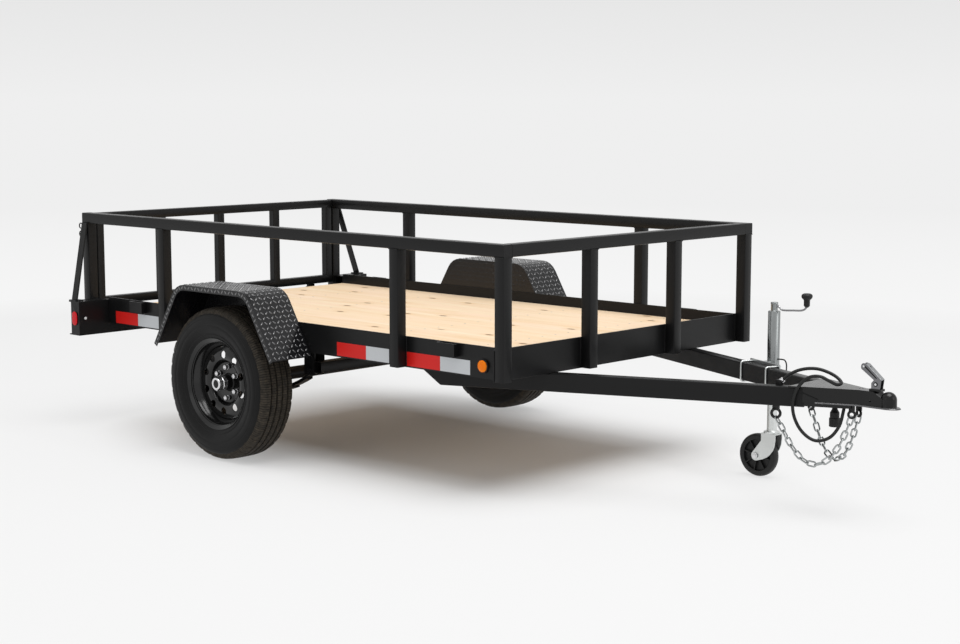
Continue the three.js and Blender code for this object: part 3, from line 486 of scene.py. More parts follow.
@dataclass(frozen=True)
class ReflectiveTape(Finish):
    """Prismatic tape: small sealed cells over a bright backing."""

    def paint(self, sheet: Sheet) -> None:
        """Fills in the material's nodes.

        Args:
            sheet: The material's node tree.
        """
        cells = sheet.node("ShaderNodeTexVoronoi", {"feature": "DISTANCE_TO_EDGE"}, Vector=sheet.place,
                           Scale=190.0, Randomness=0.2)
        edge = sheet.span(cells.outputs["Distance"], 0.0, 0.08)
        tone = sheet.mixed(edge, self.tinted(0.86, 0.86, 0.86), colour(*self.base))
        sheet.set(Base_Color=tone, Metallic=0.15, Roughness=self.roughness, IOR=1.3)
        sheet.set(Coat_Weight=0.15, Coat_Roughness=0.15)
        sheet.bump(sheet.noise(60, 2), 0.0003)


BLACK_PAINT = SatinPaint("black_paint", Slot.BLACK_PAINT, (0.005, 0.005, 0.0052), 0.34)
FENDER_PAINT = SatinPaint("tread_plate", Slot.TREAD_PLATE, (0.005, 0.005, 0.0058), 0.24, index=1.42)
# The outer bars' paint is eight times lighter than the plate's: a painted highlight on the bars.
BAR_HIGHLIGHT_PAINT = SatinPaint("tread_bar", Slot.TREAD_PLATE, (0.040, 0.040, 0.042), 0.18, index=2.10)
CAST_PAINT = SatinPaint("coupler_paint", Slot.BLACK_PAINT, (0.0035, 0.0035, 0.0035), 0.18, 0.0002, 1.38)
# The lip's paint is far lighter than the cast paint: a painted glint along its top.
LIP_GLINT_PAINT = SatinPaint("worn_lip", Slot.BLACK_PAINT, (0.055, 0.055, 0.057), 0.22, index=1.60)
WHEEL_PAINT = SatinPaint("wheel_paint", Slot.BLACK_PAINT, (0.0035, 0.0035, 0.0035), 0.14, index=1.46)
TIMBER = DeckTimber("deck_wood", Slot.DECK_WOOD, (0.82, 0.68, 0.51), 0.62)
SIDEWALL = TyreRubber("tyre_sidewall", Slot.TYRE_RUBBER, (0.0055, 0.0055, 0.0055), 0.50)
TREAD = TyreRubber("tyre_tread", Slot.TYRE_RUBBER, (0.012, 0.0115, 0.0105), 0.70, 0.62, 60.0)
ZINC = BarePlate("zinc_plate", Slot.ZINC_PLATE, (0.60, 0.62, 0.62), 0.34)
# The jack tube's dark streaks are painted reflections.
TUBE_ZINC = BarePlate("streaked_zinc", Slot.ZINC_PLATE, (0.40, 0.42, 0.42), 0.22, 0.05, 0.45)
BRIGHT_ZINC = BarePlate("bright_zinc", Slot.ZINC_PLATE, (0.74, 0.76, 0.75), 0.40, 0.03)
CHAIN_ZINC = BarePlate("chain_zinc", Slot.ZINC_PLATE, (0.46, 0.48, 0.48), 0.16, 0.04)
# A pale, plain paint for the marker stud: a painted highlight in place of the metal's own shine.
STUD_HIGHLIGHT_PAINT = SatinPaint("stud_tin", Slot.ZINC_PLATE, (0.55, 0.55, 0.55), 0.30)
# Zinc twice as pale as the lever's sides, used on the lever's top web.
PALE_ZINC = BarePlate("worn_zinc", Slot.ZINC_PLATE, (0.40, 0.41, 0.42), 0.34, 0.10)
LATCH_ZINC = BarePlate("latch_zinc", Slot.ZINC_PLATE, (0.20, 0.20, 0.21), 0.34, 0.12)
DARK_ZINC = BarePlate("dark_zinc", Slot.ZINC_PLATE, (0.38, 0.38, 0.39), 0.42)
CHROME = BarePlate("bright_nut", Slot.ZINC_PLATE, (0.78, 0.78, 0.79), 0.16, 0.03)
PLASTIC = MouldedPlastic("black_plastic", Slot.BLACK_PLASTIC, (0.010, 0.010, 0.010), 0.45)
SOFT_RUBBER = MouldedPlastic("cap_rubber", Slot.BLACK_PLASTIC, (0.012, 0.012, 0.012), 0.7)
CABLE_JACKET = MouldedPlastic("cable_rubber", Slot.CABLE_RUBBER, (0.008, 0.008, 0.008), 0.42)
RED_LENS = LampLens("red_lens", Slot.RED_LENS, (0.72, 0.015, 0.025), 0.35, (0.42, 0.005, 0.010))
AMBER_LENS = LampLens("amber_lens", Slot.RED_LENS, (1.0, 0.27, 0.0), 0.35, (0.80, 0.13, 0.0))
RED_TAPE = ReflectiveTape("red_tape", Slot.RED_LENS, (0.66, 0.012, 0.009), 0.45)
WHITE_TAPE = ReflectiveTape("white_tape", Slot.ZINC_PLATE, (0.56, 0.58, 0.60), 0.34)


# ---- drawing meshes


@dataclass
class Draft:
    """Vertices and faces of one piece while it is being drawn."""

    vertices: list[Vector] = field(default_factory=list)
    faces: list[tuple[int, ...]] = field(default_factory=list)
    slots: list[int] = field(default_factory=list)

    def skin(self, rings: Sequence[Sequence[Vector]], closed_ring: bool = True, closed_path: bool = False,
             capped: bool = False) -> "Draft":
        """Joins rings of the same length with quads.

        Args:
            rings: The rings, in order along the path.
            closed_ring: Whether each ring closes on itself.
            closed_path: Whether the last ring joins the first.
            capped: Whether the first and last rings are filled.

        Returns:
            The draft itself.
        """
        start = len(self.vertices)
        count = len(rings[0])
        for ring in rings:
            self.vertices.extend(Vector(point) for point in ring)
        for row in range(len(rings) if closed_path else len(rings) - 1):
            low = start + row * count
            high = start + (row + 1) % len(rings) * count
            for index in range(count if closed_ring else count - 1):
                after = (index + 1) % count
                self.faces.append((low + index, low + after, high + after, high + index))
        if capped:
            last = start + (len(rings) - 1) * count
            self.faces.append(tuple(range(start + count - 1, start - 1, -1)))
            self.faces.append(tuple(range(last, last + count)))
        return self

    def turned(self, profile: Sequence[Point], segments: int, centre: Point, axis: Axis = Axis.Y,
               closed: bool = True) -> "Draft":
        """Turns a profile of (radius, along) round an axis through the centre; closed joins its ends."""
        angles = [math.tau * step / segments for step in range(segments)]
        return self.skin([[Vector(centre) + spun(radius, along, angle, axis) for radius, along in profile]
                          for angle in angles], closed, True)

    def solid(self, profile: Sequence[Point], segments: int, centre: Point, axis: Axis = Axis.Y) -> "Draft":
        """Turns a profile that starts and ends on the axis."""
        return self.turned(profile, segments, centre, axis, closed=False)

    def block(self, low: Point, high: Point) -> "Draft":
        """Adds a box between two corners."""
        plan = [(low[0], low[1]), (high[0], low[1]), (high[0], high[1]), (low[0], high[1])]
        return self.skin([[Vector((x, y, z)) for x, y in plan] for z in (low[2], high[2])], capped=True)

    def plate(self, outline: Sequence[Point], origin: Point, across: Point, up: Point,
              depth: float) -> "Draft":
        """Pushes a flat outline through a depth.

        Args:
            outline: Points (a, b) along across and up.
            origin: Where (0, 0) is.
            across: Direction of a.
            up: Direction of b.
            depth: Thickness along across x up.

        Returns:
            The draft itself.
        """
        first, second = Vector(across).normalized(), Vector(up).normalized()
        normal = first.cross(second)
        base = [Vector(origin) + first * a + second * b for a, b in outline]
        return self.skin([base, [point + normal * depth for point in base]], capped=True)

    def tube(self, path: Sequence[Point], radius: float, sides: int = 12, closed: bool = False) -> "Draft":
        """Adds a round bar along a path, without twist; closed joins the path's ends."""
        return self.skin(path_rings(path, radius, sides, closed), closed_path=closed, capped=not closed)

    def piece(self, name: str, *finishes: Finish, sharp: float = 35.0) -> Piece:
        """Makes the object.

        Args:
            name: The piece's name.
            finishes: A finish for each material slot.
            sharp: Edges over this angle, in degrees, stay sharp.

        Returns:
            The object, with merged vertices and faces pointing out.
        """
        mesh = bpy.data.meshes.new(name)
        mesh.from_pydata([tuple(vertex) for vertex in self.vertices], [], self.faces)
        mesh.polygons.foreach_set("material_index", self.slots or [0] * len(self.faces))
        work = bmesh.new()
        work.from_mesh(mesh)
        bmesh.ops.remove_doubles(work, verts=work.verts, dist=1e-6)
        bmesh.ops.recalc_face_normals(work, faces=work.faces)
        work.to_mesh(mesh)
        work.free()
        for finish in finishes:
            mesh.materials.append(finish.material())
        return shown(name, mesh, sharp)


def spun(radius: float, along: float, angle: float, axis: Axis) -> Vector:
    """A point round an axis.

    Args:
        radius: Distance from the axis.
        along: Distance along the axis.
        angle: Angle round the axis.
        axis: The axis.

    Returns:
        The point.
    """
    place = [radius * math.cos(angle), radius * math.sin(angle)]
    place.insert(axis.value, along)
    return Vector(place)


def path_rings(path: Sequence[Point], radius: float, sides: int, closed: bool) -> list[list[Vector]]:
    """Rings round a path, each turned as little as possible from the one before.

    Args:
        path: The path's points.
        radius: The rings' radius.
        sides: Points on a ring.
        closed: Whether the path closes on itself.

    Returns:
        The rings.
    """
    points = [Vector(point) for point in path]
    count = len(points)
    turns = [math.tau * side / sides for side in range(sides)]
    rings = []
    across: Vector | None = None
    for index, point in enumerate(points):
        before = points[index - 1] if closed or index > 0 else point
        after = points[(index + 1) % count] if closed or index < count - 1 else point
        along = (after - before).normalized()
        if across is None:
            across = along.orthogonal().normalized()
        across = (across - along * across.dot(along)).normalized()
        other = along.cross(across)
        rings.append([point + (across * math.cos(turn) + other * math.sin(turn)) * radius for turn in turns])
    return rings


def shown(name: str, mesh: Mesh, sharp: float = 35.0) -> Piece:
    """An object for a mesh, smooth but for its sharp edges.

    Args:
        name: The object's name.
        mesh: Its mesh.
        sharp: Edges over this angle, in degrees, stay sharp.

    Returns:
        The object.
    """
    mesh.polygons.foreach_set("use_smooth", [True] * len(mesh.polygons))
    mesh.set_sharp_from_angle(angle=math.radians(sharp))
    made = bpy.data.objects.new(name, mesh)
    bpy.context.scene.collection.objects.link(made)
    return made


def bevelled(piece: Piece, width: float, segments: int = 2, angle: float = 30.0) -> Piece:
    """Rounds a piece's sharp edges with a live bevel.

    Args:
        piece: The piece.
        width: Width of the rounding.
        segments: Its steps.
        angle: Edges under this angle, in degrees, stay as they are.

    Returns:
        The piece.
    """
    modifier = piece.modifiers.new("round", "BEVEL")
    modifier.width = width
    modifier.segments = segments
    modifier.limit_method = "ANGLE"
    modifier.angle_limit = math.radians(angle)
    modifier.harden_normals = True
    piece.data.polygons.foreach_set("use_smooth", [True] * len(piece.data.polygons))
    return piece


def plain_mesh(piece: Piece) -> Mesh:
    """A piece's mesh with its modifiers worked into it."""
    graph = bpy.context.evaluated_depsgraph_get()
    return bpy.data.meshes.new_from_object(piece.evaluated_get(graph), depsgraph=graph)


def cut(piece: Piece, cutter: Draft) -> None:
    """Takes a draft's form out of a piece.

    Args:
        piece: The piece.
        cutter: The form.
    """
    tool = cutter.piece("cutter", BLACK_PAINT)
    modifier = piece.modifiers.new("cut", "BOOLEAN")
    modifier.object = tool
    modifier.solver = "EXACT"
    mesh = plain_mesh(piece)
    piece.modifiers.clear()
    piece.data = mesh
    bpy.data.objects.remove(tool)


def drill(piece: Piece, spot: Vector, way: Vector, radius: float, depth: float) -> None:
    """Cuts a round hole into a piece, reaching a depth to either side of the spot."""
    cut(piece, Draft().tube([spot - way * depth, spot + way * depth], radius, 24))


def rod(radius: float, low: float, high: float) -> list[tuple[float, float]]:
    """The (radius, along) profile of a plain round bar."""
    return [(0, low), (radius, low), (radius, high), (0, high)]


def arc(centre: Point, radius: float, start: float, end: float, steps: int) -> list[tuple[float, float]]:
    """Points on an arc from its start angle to its end angle, in degrees."""
    angles = [math.radians(start + (end - start) * step / steps) for step in range(steps + 1)]
    return [(centre[0] + radius * math.cos(angle), centre[1] + radius * math.sin(angle)) for angle in angles]


def smooth_line(points: Sequence[Vector], steps: int) -> list[Vector]:
    """A smooth line through points, by a centripetal Catmull-Rom curve.

    Args:
        points: The points.
        steps: Steps between two points.

    Returns:
        Points on the line.
    """
    ends = [points[0] * 2 - points[1], *points, points[-1] * 2 - points[-2]]
    result = []
    for four in zip(ends, ends[1:], ends[2:], ends[3:]):
        knots = [0.0]
        for first, second in zip(four, four[1:]):
            knots.append(knots[-1] + math.sqrt((second - first).length))
        for step in range(steps):
            time = knots[1] + (knots[2] - knots[1]) * step / steps
            level = list(four)
            for base, ahead in ((0, 1), (0, 2), (1, 1)):
                starts = [knots[index + base] for index in range(len(level) - 1)]
                spans = [knots[index + base + ahead] - start for index, start in enumerate(starts)]
                level = [first.lerp(second, (time - start) / span)
                         for first, second, start, span in zip(level, level[1:], starts, spans)]
            result.append(level[0])
    return [*result, points[-1]]


def length_of(line: Sequence[Vector]) -> float:
    """The length of a line of points."""
    return sum((after - before).length for before, after in zip(line, line[1:]))


def spaced(line: Sequence[Vector], count: int) -> list[tuple[Vector, Vector]]:
    """Points spread evenly along a line, half a step in from its ends.

    Args:
        line: The line's points.
        count: How many points are spread.

    Returns:
        Each point with the line's direction there.
    """
    lengths = [0.0]
    for before, after in zip(line, line[1:]):
        lengths.append(lengths[-1] + (after - before).length)
    result = []
    index = 0
    for step in range(count):
        goal = lengths[-1] * (step + 0.5) / count
        while lengths[index + 1] < goal:
            index += 1
        share = (goal - lengths[index]) / (lengths[index + 1] - lengths[index])
        way = (line[index + 1] - line[index]).normalized()
        result.append((line[index].lerp(line[index + 1], share), way))
    return result


def stadium(width: float, height: float, steps: int) -> list[tuple[float, float]]:
    """An upright oval with round ends of some steps each, centred on zero."""
    radius, reach = width / 2, (height - width) / 2
    return arc((0, reach), radius, 0, 180, steps) + arc((0, -reach), radius, 180, 360, steps)


# ---- geometry nodes


class Pattern(Tree):
    """A Geometry Nodes tree whose sizes are named inputs."""

    def __init__(self, name: str, finish: Finish, **sizes: float) -> None:
        """Starts a tree.

        Args:
            name: The tree's name.
            finish: The finish of what it makes.
            sizes: Named inputs and their values.
        """
        self.group = bpy.data.node_groups.new(name, "GeometryNodeTree")
        super().__init__(self.group)
        self.finish = finish
        self.sizes = sizes
        interface = self.group.interface
        interface.new_socket("Geometry", in_out="INPUT", socket_type="NodeSocketGeometry")
        for label in sizes:
            interface.new_socket(label, in_out="INPUT", socket_type="NodeSocketFloat")
        interface.new_socket("Geometry", in_out="OUTPUT", socket_type="NodeSocketGeometry")
        self.start = self.node("NodeGroupInput")
        self.end = self.node("NodeGroupOutput")

    def size(self, label: str, share: float = 1.0) -> Socket:
        """A named input, or a share of it."""
        socket = self.start.outputs[label]
        return socket if share == 1.0 else self.sums("MULTIPLY", socket, share)

    def joined(self, parts: Sequence[tuple[Node, object]]) -> Socket:
        """Lifts meshes along Z and joins them.

        Args:
            parts: Each mesh's node and its lift.

        Returns:
            The joined geometry.
        """
        join = self.node("GeometryNodeJoinGeometry")
        for part, lift in parts:
            shift = self.node("ShaderNodeCombineXYZ", Z=lift)
            moved = self.node("GeometryNodeTransform", Geometry=part.outputs["Mesh"],
                              Translation=shift.outputs[0])
            self.links.new(moved.outputs["Geometry"], join.inputs["Geometry"])
        return join.outputs["Geometry"]

    def close(self, geometry: Socket) -> None:
        """Ends the tree in Realize Instances and Set Material.

        Args:
            geometry: What the tree has made.
        """
        real = self.node("GeometryNodeRealizeInstances", Geometry=geometry)
        dressed = self.node("GeometryNodeSetMaterial", Geometry=real.outputs["Geometry"],
                            Material=self.finish.material())
        self.links.new(dressed.outputs["Geometry"], self.end.inputs["Geometry"])

    def run(self, name: str, host: Mesh) -> Piece:
        """Runs the tree on a host and keeps the result as a plain mesh.

        Args:
            name: The piece's name.
            host: The mesh that the tree starts from.

        Returns:
            The piece.
        """
        worker = bpy.data.objects.new(name, host)
        bpy.context.scene.collection.objects.link(worker)
        modifier = worker.modifiers.new("pattern", "NODES")
        modifier.node_group = self.group
        for item in self.group.interface.items_tree:
            if item.in_out == "INPUT" and item.name in self.sizes:
                modifier[item.identifier] = self.sizes[item.name]
        mesh = plain_mesh(worker)
        bpy.data.objects.remove(worker)
        mesh.name = name
        return shown(name, mesh)


class SpotPattern(Pattern):
    """A pattern that sets one small shape on each point of a host."""

    def scatter(self, shape: Socket) -> "SpotPattern":
        """Puts a shape on each point, faced and turned as the point says.

        Args:
            shape: The geometry that is repeated.

        Returns:
            The pattern itself.
        """
        facing = self.node("GeometryNodeInputNamedAttribute", {"data_type": "FLOAT_VECTOR"}, Name="facing")
        turn = self.node("GeometryNodeInputNamedAttribute", {"data_type": "FLOAT"}, Name="turn")
        aim = self.node("FunctionNodeAlignRotationToVector", {"axis": "Z"},
                        Vector=facing.outputs["Attribute"])
        angles = self.node("FunctionNodeAxisAngleToRotation", Axis=(0.0, 0.0, 1.0),
                           Angle=turn.outputs["Attribute"])
        spin = self.node("FunctionNodeRotateRotation", {"rotation_space": "LOCAL"}, Rotation=aim.outputs[0],
                         Rotate_By=angles.outputs[0])
        points = self.node("GeometryNodeMeshToPoints", Mesh=self.start.outputs["Geometry"])
        placed = self.node("GeometryNodeInstanceOnPoints", Points=points.outputs[0], Instance=shape,
                           Rotation=spin.outputs[0])
        self.close(placed.outputs["Instances"])
        return self


def spots(name: str, places: Sequence[Place]) -> Mesh:
    """A host mesh of loose points.

    Args:
        name: The mesh's name.
        places: For each point its place, the direction that an instance's Z takes, and its turn about it.

    Returns:
        The mesh, with the attributes facing and turn.
    """
    mesh = bpy.data.meshes.new(name)
    mesh.from_pydata([tuple(place) for place, _, _ in places], [], [])
    facing = mesh.attributes.new("facing", "FLOAT_VECTOR", "POINT")
    facing.data.foreach_set("vector", [value for _, way, _ in places for value in Vector(way).normalized()])
    turn = mesh.attributes.new("turn", "FLOAT", "POINT")
    turn.data.foreach_set("value", [angle for _, _, angle in places])
    return mesh


def seams(name: str, edges: Sequence[tuple[Vector, Vector]]) -> Mesh:
    """A host mesh of loose edges.

    Args:
        name: The mesh's name.
        edges: The two ends of each edge.

    Returns:
        The mesh.
    """
    points = [tuple(point) for edge in edges for point in edge]
    mesh = bpy.data.meshes.new(name)
    mesh.from_pydata(points, [(2 * index, 2 * index + 1) for index in range(len(edges))], [])
    return mesh


def bolt_pattern(name: str, finish: Finish, across: float, height: float) -> SpotPattern:
    """Hexagon heads on washers.

    Args:
        name: The tree's name.
        finish: Their finish.
        across: Width over the corners.
        height: Height of the head.

    Returns:
        The pattern.
    """
    pattern = SpotPattern(name, finish, across=across, height=height)
    head = pattern.node("GeometryNodeMeshCylinder", Vertices=6, Radius=pattern.size("across", 0.5),
                        Depth=pattern.size("height"))
    crown = pattern.node("GeometryNodeMeshCylinder", Vertices=12, Depth=pattern.size("height", 1.7),
                         Radius=pattern.sums("MULTIPLY", pattern.size("across", 0.5), 0.55))
    washer = pattern.node("GeometryNodeMeshCylinder", Vertices=18, Radius=pattern.size("across", 0.66),
                          Depth=pattern.size("height", 0.2))
    shares = ((head, 0.5), (crown, 0.8), (washer, 0.1))
    return pattern.scatter(pattern.joined([(part, pattern.size("height", share)) for part, share in shares]))


def nut_pattern(across: float, height: float) -> SpotPattern:
    """Wheel nuts: a hexagon with a tapered seat and crown.

    Args:
        across: Width over the corners.
        height: Height of the hexagon.

    Returns:
        The pattern.
    """
    pattern = SpotPattern("wheel_nuts", CHROME, across=across, height=height)
    half = pattern.size("across", 0.5)
    seat = pattern.node("GeometryNodeMeshCone", Vertices=24, Radius_Top=half, Depth=0.008,
                        Radius_Bottom=pattern.sums("MULTIPLY", half, 0.7))
    head = pattern.node("GeometryNodeMeshCylinder", Vertices=6, Radius=half, Depth=pattern.size("height"))
    crown = pattern.node("GeometryNodeMeshCone", Vertices=20, Depth=0.004,
                         Radius_Bottom=pattern.sums("MULTIPLY", half, 0.82),
                         Radius_Top=pattern.sums("MULTIPLY", half, 0.45))
    return pattern.scatter(pattern.joined(((seat, 0.0), (head, 0.0155), (crown, 0.023))))


def screw_pattern(radius: float, height: float) -> SpotPattern:
    """Flat round screw heads.

    Args:
        radius: Radius of a head.
        height: Its height.

    Returns:
        The pattern.
    """
    pattern = SpotPattern("deck_screws", DARK_ZINC, radius=radius, height=height)
    head = pattern.node("GeometryNodeMeshCylinder", Vertices=12, Radius=pattern.size("radius"),
                        Depth=pattern.size("height"))
    return pattern.scatter(head.outputs["Mesh"])


def bar_pattern(finish: Finish, length: float, width: float, height: float) -> SpotPattern:
    """The raised bars of tread plate.

    Args:
        finish: Their finish.
        length: Length of a bar.
        width: Width of a bar.
        height: Height above the plate.

    Returns:
        The pattern.
    """
    pattern = SpotPattern("tread_bars", finish, length=length, width=width, height=height)
    ball = pattern.node("GeometryNodeMeshUVSphere", Segments=8, Rings=4, Radius=0.5)
    scale = pattern.node("ShaderNodeCombineXYZ", X=pattern.size("length"), Y=pattern.size("width"),
                         Z=pattern.size("height", 2.0))
    bar = pattern.node("GeometryNodeTransform", Geometry=ball.outputs["Mesh"], Scale=scale.outputs[0])
    return pattern.scatter(bar.outputs["Geometry"])


def link_pattern(length: float, width: float, wire: float, bend: float) -> SpotPattern:
    """Chain links with their length along the point's direction.

    Args:
        length: Length between the wire's middles at the ends.
        width: Width between the wire's middles.
        wire: Radius of the wire.
        bend: Radius of a link's ends.

    Returns:
        The pattern.
    """
    pattern = SpotPattern("chain_links", CHAIN_ZINC, length=length, width=width, wire=wire, bend=bend)
    box = pattern.node("GeometryNodeCurvePrimitiveQuadrilateral", Width=pattern.size("length"),
                       Height=pattern.size("width"))
    oval = pattern.node("GeometryNodeFilletCurve", {"mode": "POLY"}, Curve=box.outputs["Curve"], Count=5,
                        Radius=pattern.size("bend"))
    section = pattern.node("GeometryNodeCurvePrimitiveCircle", Resolution=8, Radius=pattern.size("wire"))
    link = pattern.node("GeometryNodeCurveToMesh", Curve=oval.outputs["Curve"],
                        Profile_Curve=section.outputs["Curve"])
    stood = pattern.node("GeometryNodeTransform", Geometry=link.outputs["Mesh"],
                         Rotation=(0.0, math.pi / 2, 0.0))
    return pattern.scatter(stood.outputs["Geometry"])


def bead_pattern(radius: float, ripple: float) -> Pattern:
    """Painted weld beads along the edges of a host.

    Args:
        radius: Radius of a bead.
        ripple: Distance between its ripples.

    Returns:
        The pattern.
    """
    pattern = Pattern("weld_beads", BLACK_PAINT, radius=radius, ripple=ripple)
    curve = pattern.node("GeometryNodeMeshToCurve", Mesh=pattern.start.outputs["Geometry"])
    fine = pattern.node("GeometryNodeResampleCurve", {"mode": "LENGTH"}, Curve=curve.outputs["Curve"],
                        Length=pattern.size("ripple", 0.5))
    parity = pattern.sums("MODULO", pattern.node("GeometryNodeInputIndex").outputs[0], 2.0)
    share = pattern.sums("ADD", 0.8, pattern.sums("MULTIPLY", parity, 0.3))
    swell = pattern.node("GeometryNodeSetCurveRadius", Curve=fine.outputs["Curve"],
                         Radius=pattern.sums("MULTIPLY", share, pattern.size("radius")))
    section = pattern.node("GeometryNodeCurvePrimitiveCircle", Resolution=8, Radius=1.0)
    thickness = pattern.node("GeometryNodeInputRadius")
    skin = pattern.node("GeometryNodeCurveToMesh", Curve=swell.outputs["Curve"], Scale=thickness.outputs[0],
                        Profile_Curve=section.outputs["Curve"], Fill_Caps=True)
    pattern.close(skin.outputs["Mesh"])
    return pattern


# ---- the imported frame


class Packed:
    """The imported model: its nodes, their boxes and bodies."""

    def __init__(self) -> None:
        """Loads the model."""
        self.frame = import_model()
        self.low, self.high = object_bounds()
        self.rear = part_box("top_rail_left")[0].x
        groups = self.frame["record"]["behaviour"]["bodies"]
        self.body_of = {node: Body(body) for body, members in groups.items() for node in members}

    def middle(self, node: str) -> Vector:
        """The middle of a node's box."""
        low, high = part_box(node)
        return (low + high) / 2

    def at(self, x: float, y: float, z: float) -> Vector:
        """A point whose X is counted from the rear end of the top rail."""
        return Vector((self.rear + x, y, z))

    def settle(self, piece: Piece, body: Body, finish: Finish, *replaced: str) -> Piece:
        """Attaches a finished piece to its body and hides the nodes it replaces.

        Args:
            piece: The piece.
            body: The body it rides on.
            finish: The piece's finish; not used.
            replaced: CAD nodes that it stands for.

        Returns:
            The piece.
        """
        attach(piece, body.value)
        if replaced:
            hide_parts(*replaced)
        log.info("%s rides on %s, %d faces", piece.name, body.value, len(piece.data.polygons))
        return piece

    def add(self, draft: Draft, name: str, finish: Finish, *replaced: str, body: Body = Body.CHASSIS,
            bevel: float = 0.0, sharp: float = 35.0) -> Piece:
        """Args:
            draft: The draft.
            name: The piece's name.
            finish: Its finish.
            replaced: CAD nodes that it stands for.
            body: The body it rides on.
            bevel: Width of its edges' rounding, or 0 for none.
            sharp: Edges over this angle, in degrees, stay sharp.

        Returns:
            The piece.
        """
        piece = draft.piece(name, finish, sharp=sharp)
        if bevel:
            bevelled(piece, bevel)
        return self.settle(piece, body, finish, *replaced)

    def strew(self, name: str, pattern: Pattern, host: Mesh, *replaced: str,
              body: Body = Body.CHASSIS) -> None:
        self.settle(pattern.run(name, host), body, pattern.finish, *replaced)

    def softened(self, node: str, finish: Finish, width: float = 1.2 * MM, segments: int = 2) -> Piece:
        """A copy of a node with clean faces and rounded edges, in the node's place.

        Args:
            node: The node.
            finish: Its finish.
            width: Width of the rounding.
            segments: Steps of the rounding.

        Returns:
            The new piece.
        """
        work = bmesh.new()
        work.from_mesh(self.frame["nodes"][node].data)
        bmesh.ops.remove_doubles(work, verts=work.verts, dist=2e-5)
        bmesh.ops.dissolve_limit(work, angle_limit=math.radians(1.0), verts=work.verts, edges=work.edges)
        name = f"{node}_dressed"
        mesh = bpy.data.meshes.new(name)
        work.to_mesh(mesh)
        work.free()
        mesh.materials.clear()
        mesh.materials.append(finish.material())
        mesh.polygons.foreach_set("material_index", [0] * len(mesh.polygons))
        piece = bevelled(shown(name, mesh, 30.0), width, segments)
        return self.settle(piece, self.body_of[node], finish, node)


# ---- wiring


@dataclass
class Wiring:
    """The free cable from its clip on the right beam, and its plug."""

    packed: Packed
    diameter: float = 0.013
    steps: int = 12
    route: tuple[Point, ...] = (
        (3.643, -0.094, 0.527), (3.660, -0.087, 0.543), (3.690, -0.074, 0.562), (3.726, -0.059, 0.573),
        (3.764, -0.042, 0.574), (3.802, -0.026, 0.563), (3.836, -0.016, 0.545), (3.860, -0.024, 0.528),
        (3.858, -0.052, 0.524), (3.838, -0.074, 0.538), (3.806, -0.090, 0.554), (3.768, -0.106, 0.549),
        (3.738, -0.125, 0.518), (3.722, -0.136, 0.478), (3.716, -0.138, 0.434), (3.728, -0.136, 0.382),
        (3.760, -0.128, 0.334), (3.806, -0.114, 0.308), (3.850, -0.088, 0.320), (3.874, -0.058, 0.362),
        (3.880, -0.040, 0.414), (3.874, -0.022, 0.452), (3.848, 0.002, 0.474), (3.812, 0.026, 0.466),
        (3.800, 0.031, 0.446), (3.800, 0.031, 0.424))
    shell: Pairs = (
        (0, 0.016), (0.0165, 0.016), (0.0165, 0), (0.0195, 0), (0.0215, 0.002), (0.0215, 0.034),
        (0.0185, 0.036), (0.0185, 0.056), (0.015, 0.062))
    neck: Pairs = ((0.011, -0.012), (0.0095, 0), (0, 0))
    ribs: int = 3
    rib_turn: float = 0.6
    rib: Pairs = ((-0.003, 0.006), (0.003, 0.006), (0.003, 0.03), (-0.003, 0.03))
    rib_foot: float = 0.0195
    rib_height: float = 0.0028

    def build(self) -> None:
        """Makes the plug and the cable."""
        knob = self.plug()
        line = smooth_line([self.packed.at(*point) for point in self.route], self.steps)
        draft = Draft().tube(line, self.diameter / 2, 16)
        cable = self.packed.add(draft, "wiring_cable_jacket", CABLE_JACKET, "wiring_cable")

    def plug(self) -> Piece:
        """The plug, with ribs round its shell.

        Returns:
            The piece.
        """
        low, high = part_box("wiring_plug")
        x, y = (low.x + high.x) / 2, (low.y + high.y) / 2
        profile = [(radius, low.z + up) for radius, up in self.shell]
        profile += [(radius, high.z + up) for radius, up in self.neck]
        plug = Draft().solid(profile, 40, (x, y, 0), Axis.Z)
        for turn in range(self.ribs):
            angle = math.tau * turn / self.ribs + self.rib_turn
            out = Vector((math.cos(angle), math.sin(angle), 0))
            foot = Vector((x, y, low.z)) + out * self.rib_foot
            plug.plate(self.rib, foot, (-out.y, out.x, 0), (0, 0, 1), self.rib_height)
        return self.packed.add(plug, "plug_body", PLASTIC, "wiring_plug", bevel=0.6 * MM)


# ---- frame, deck and rack


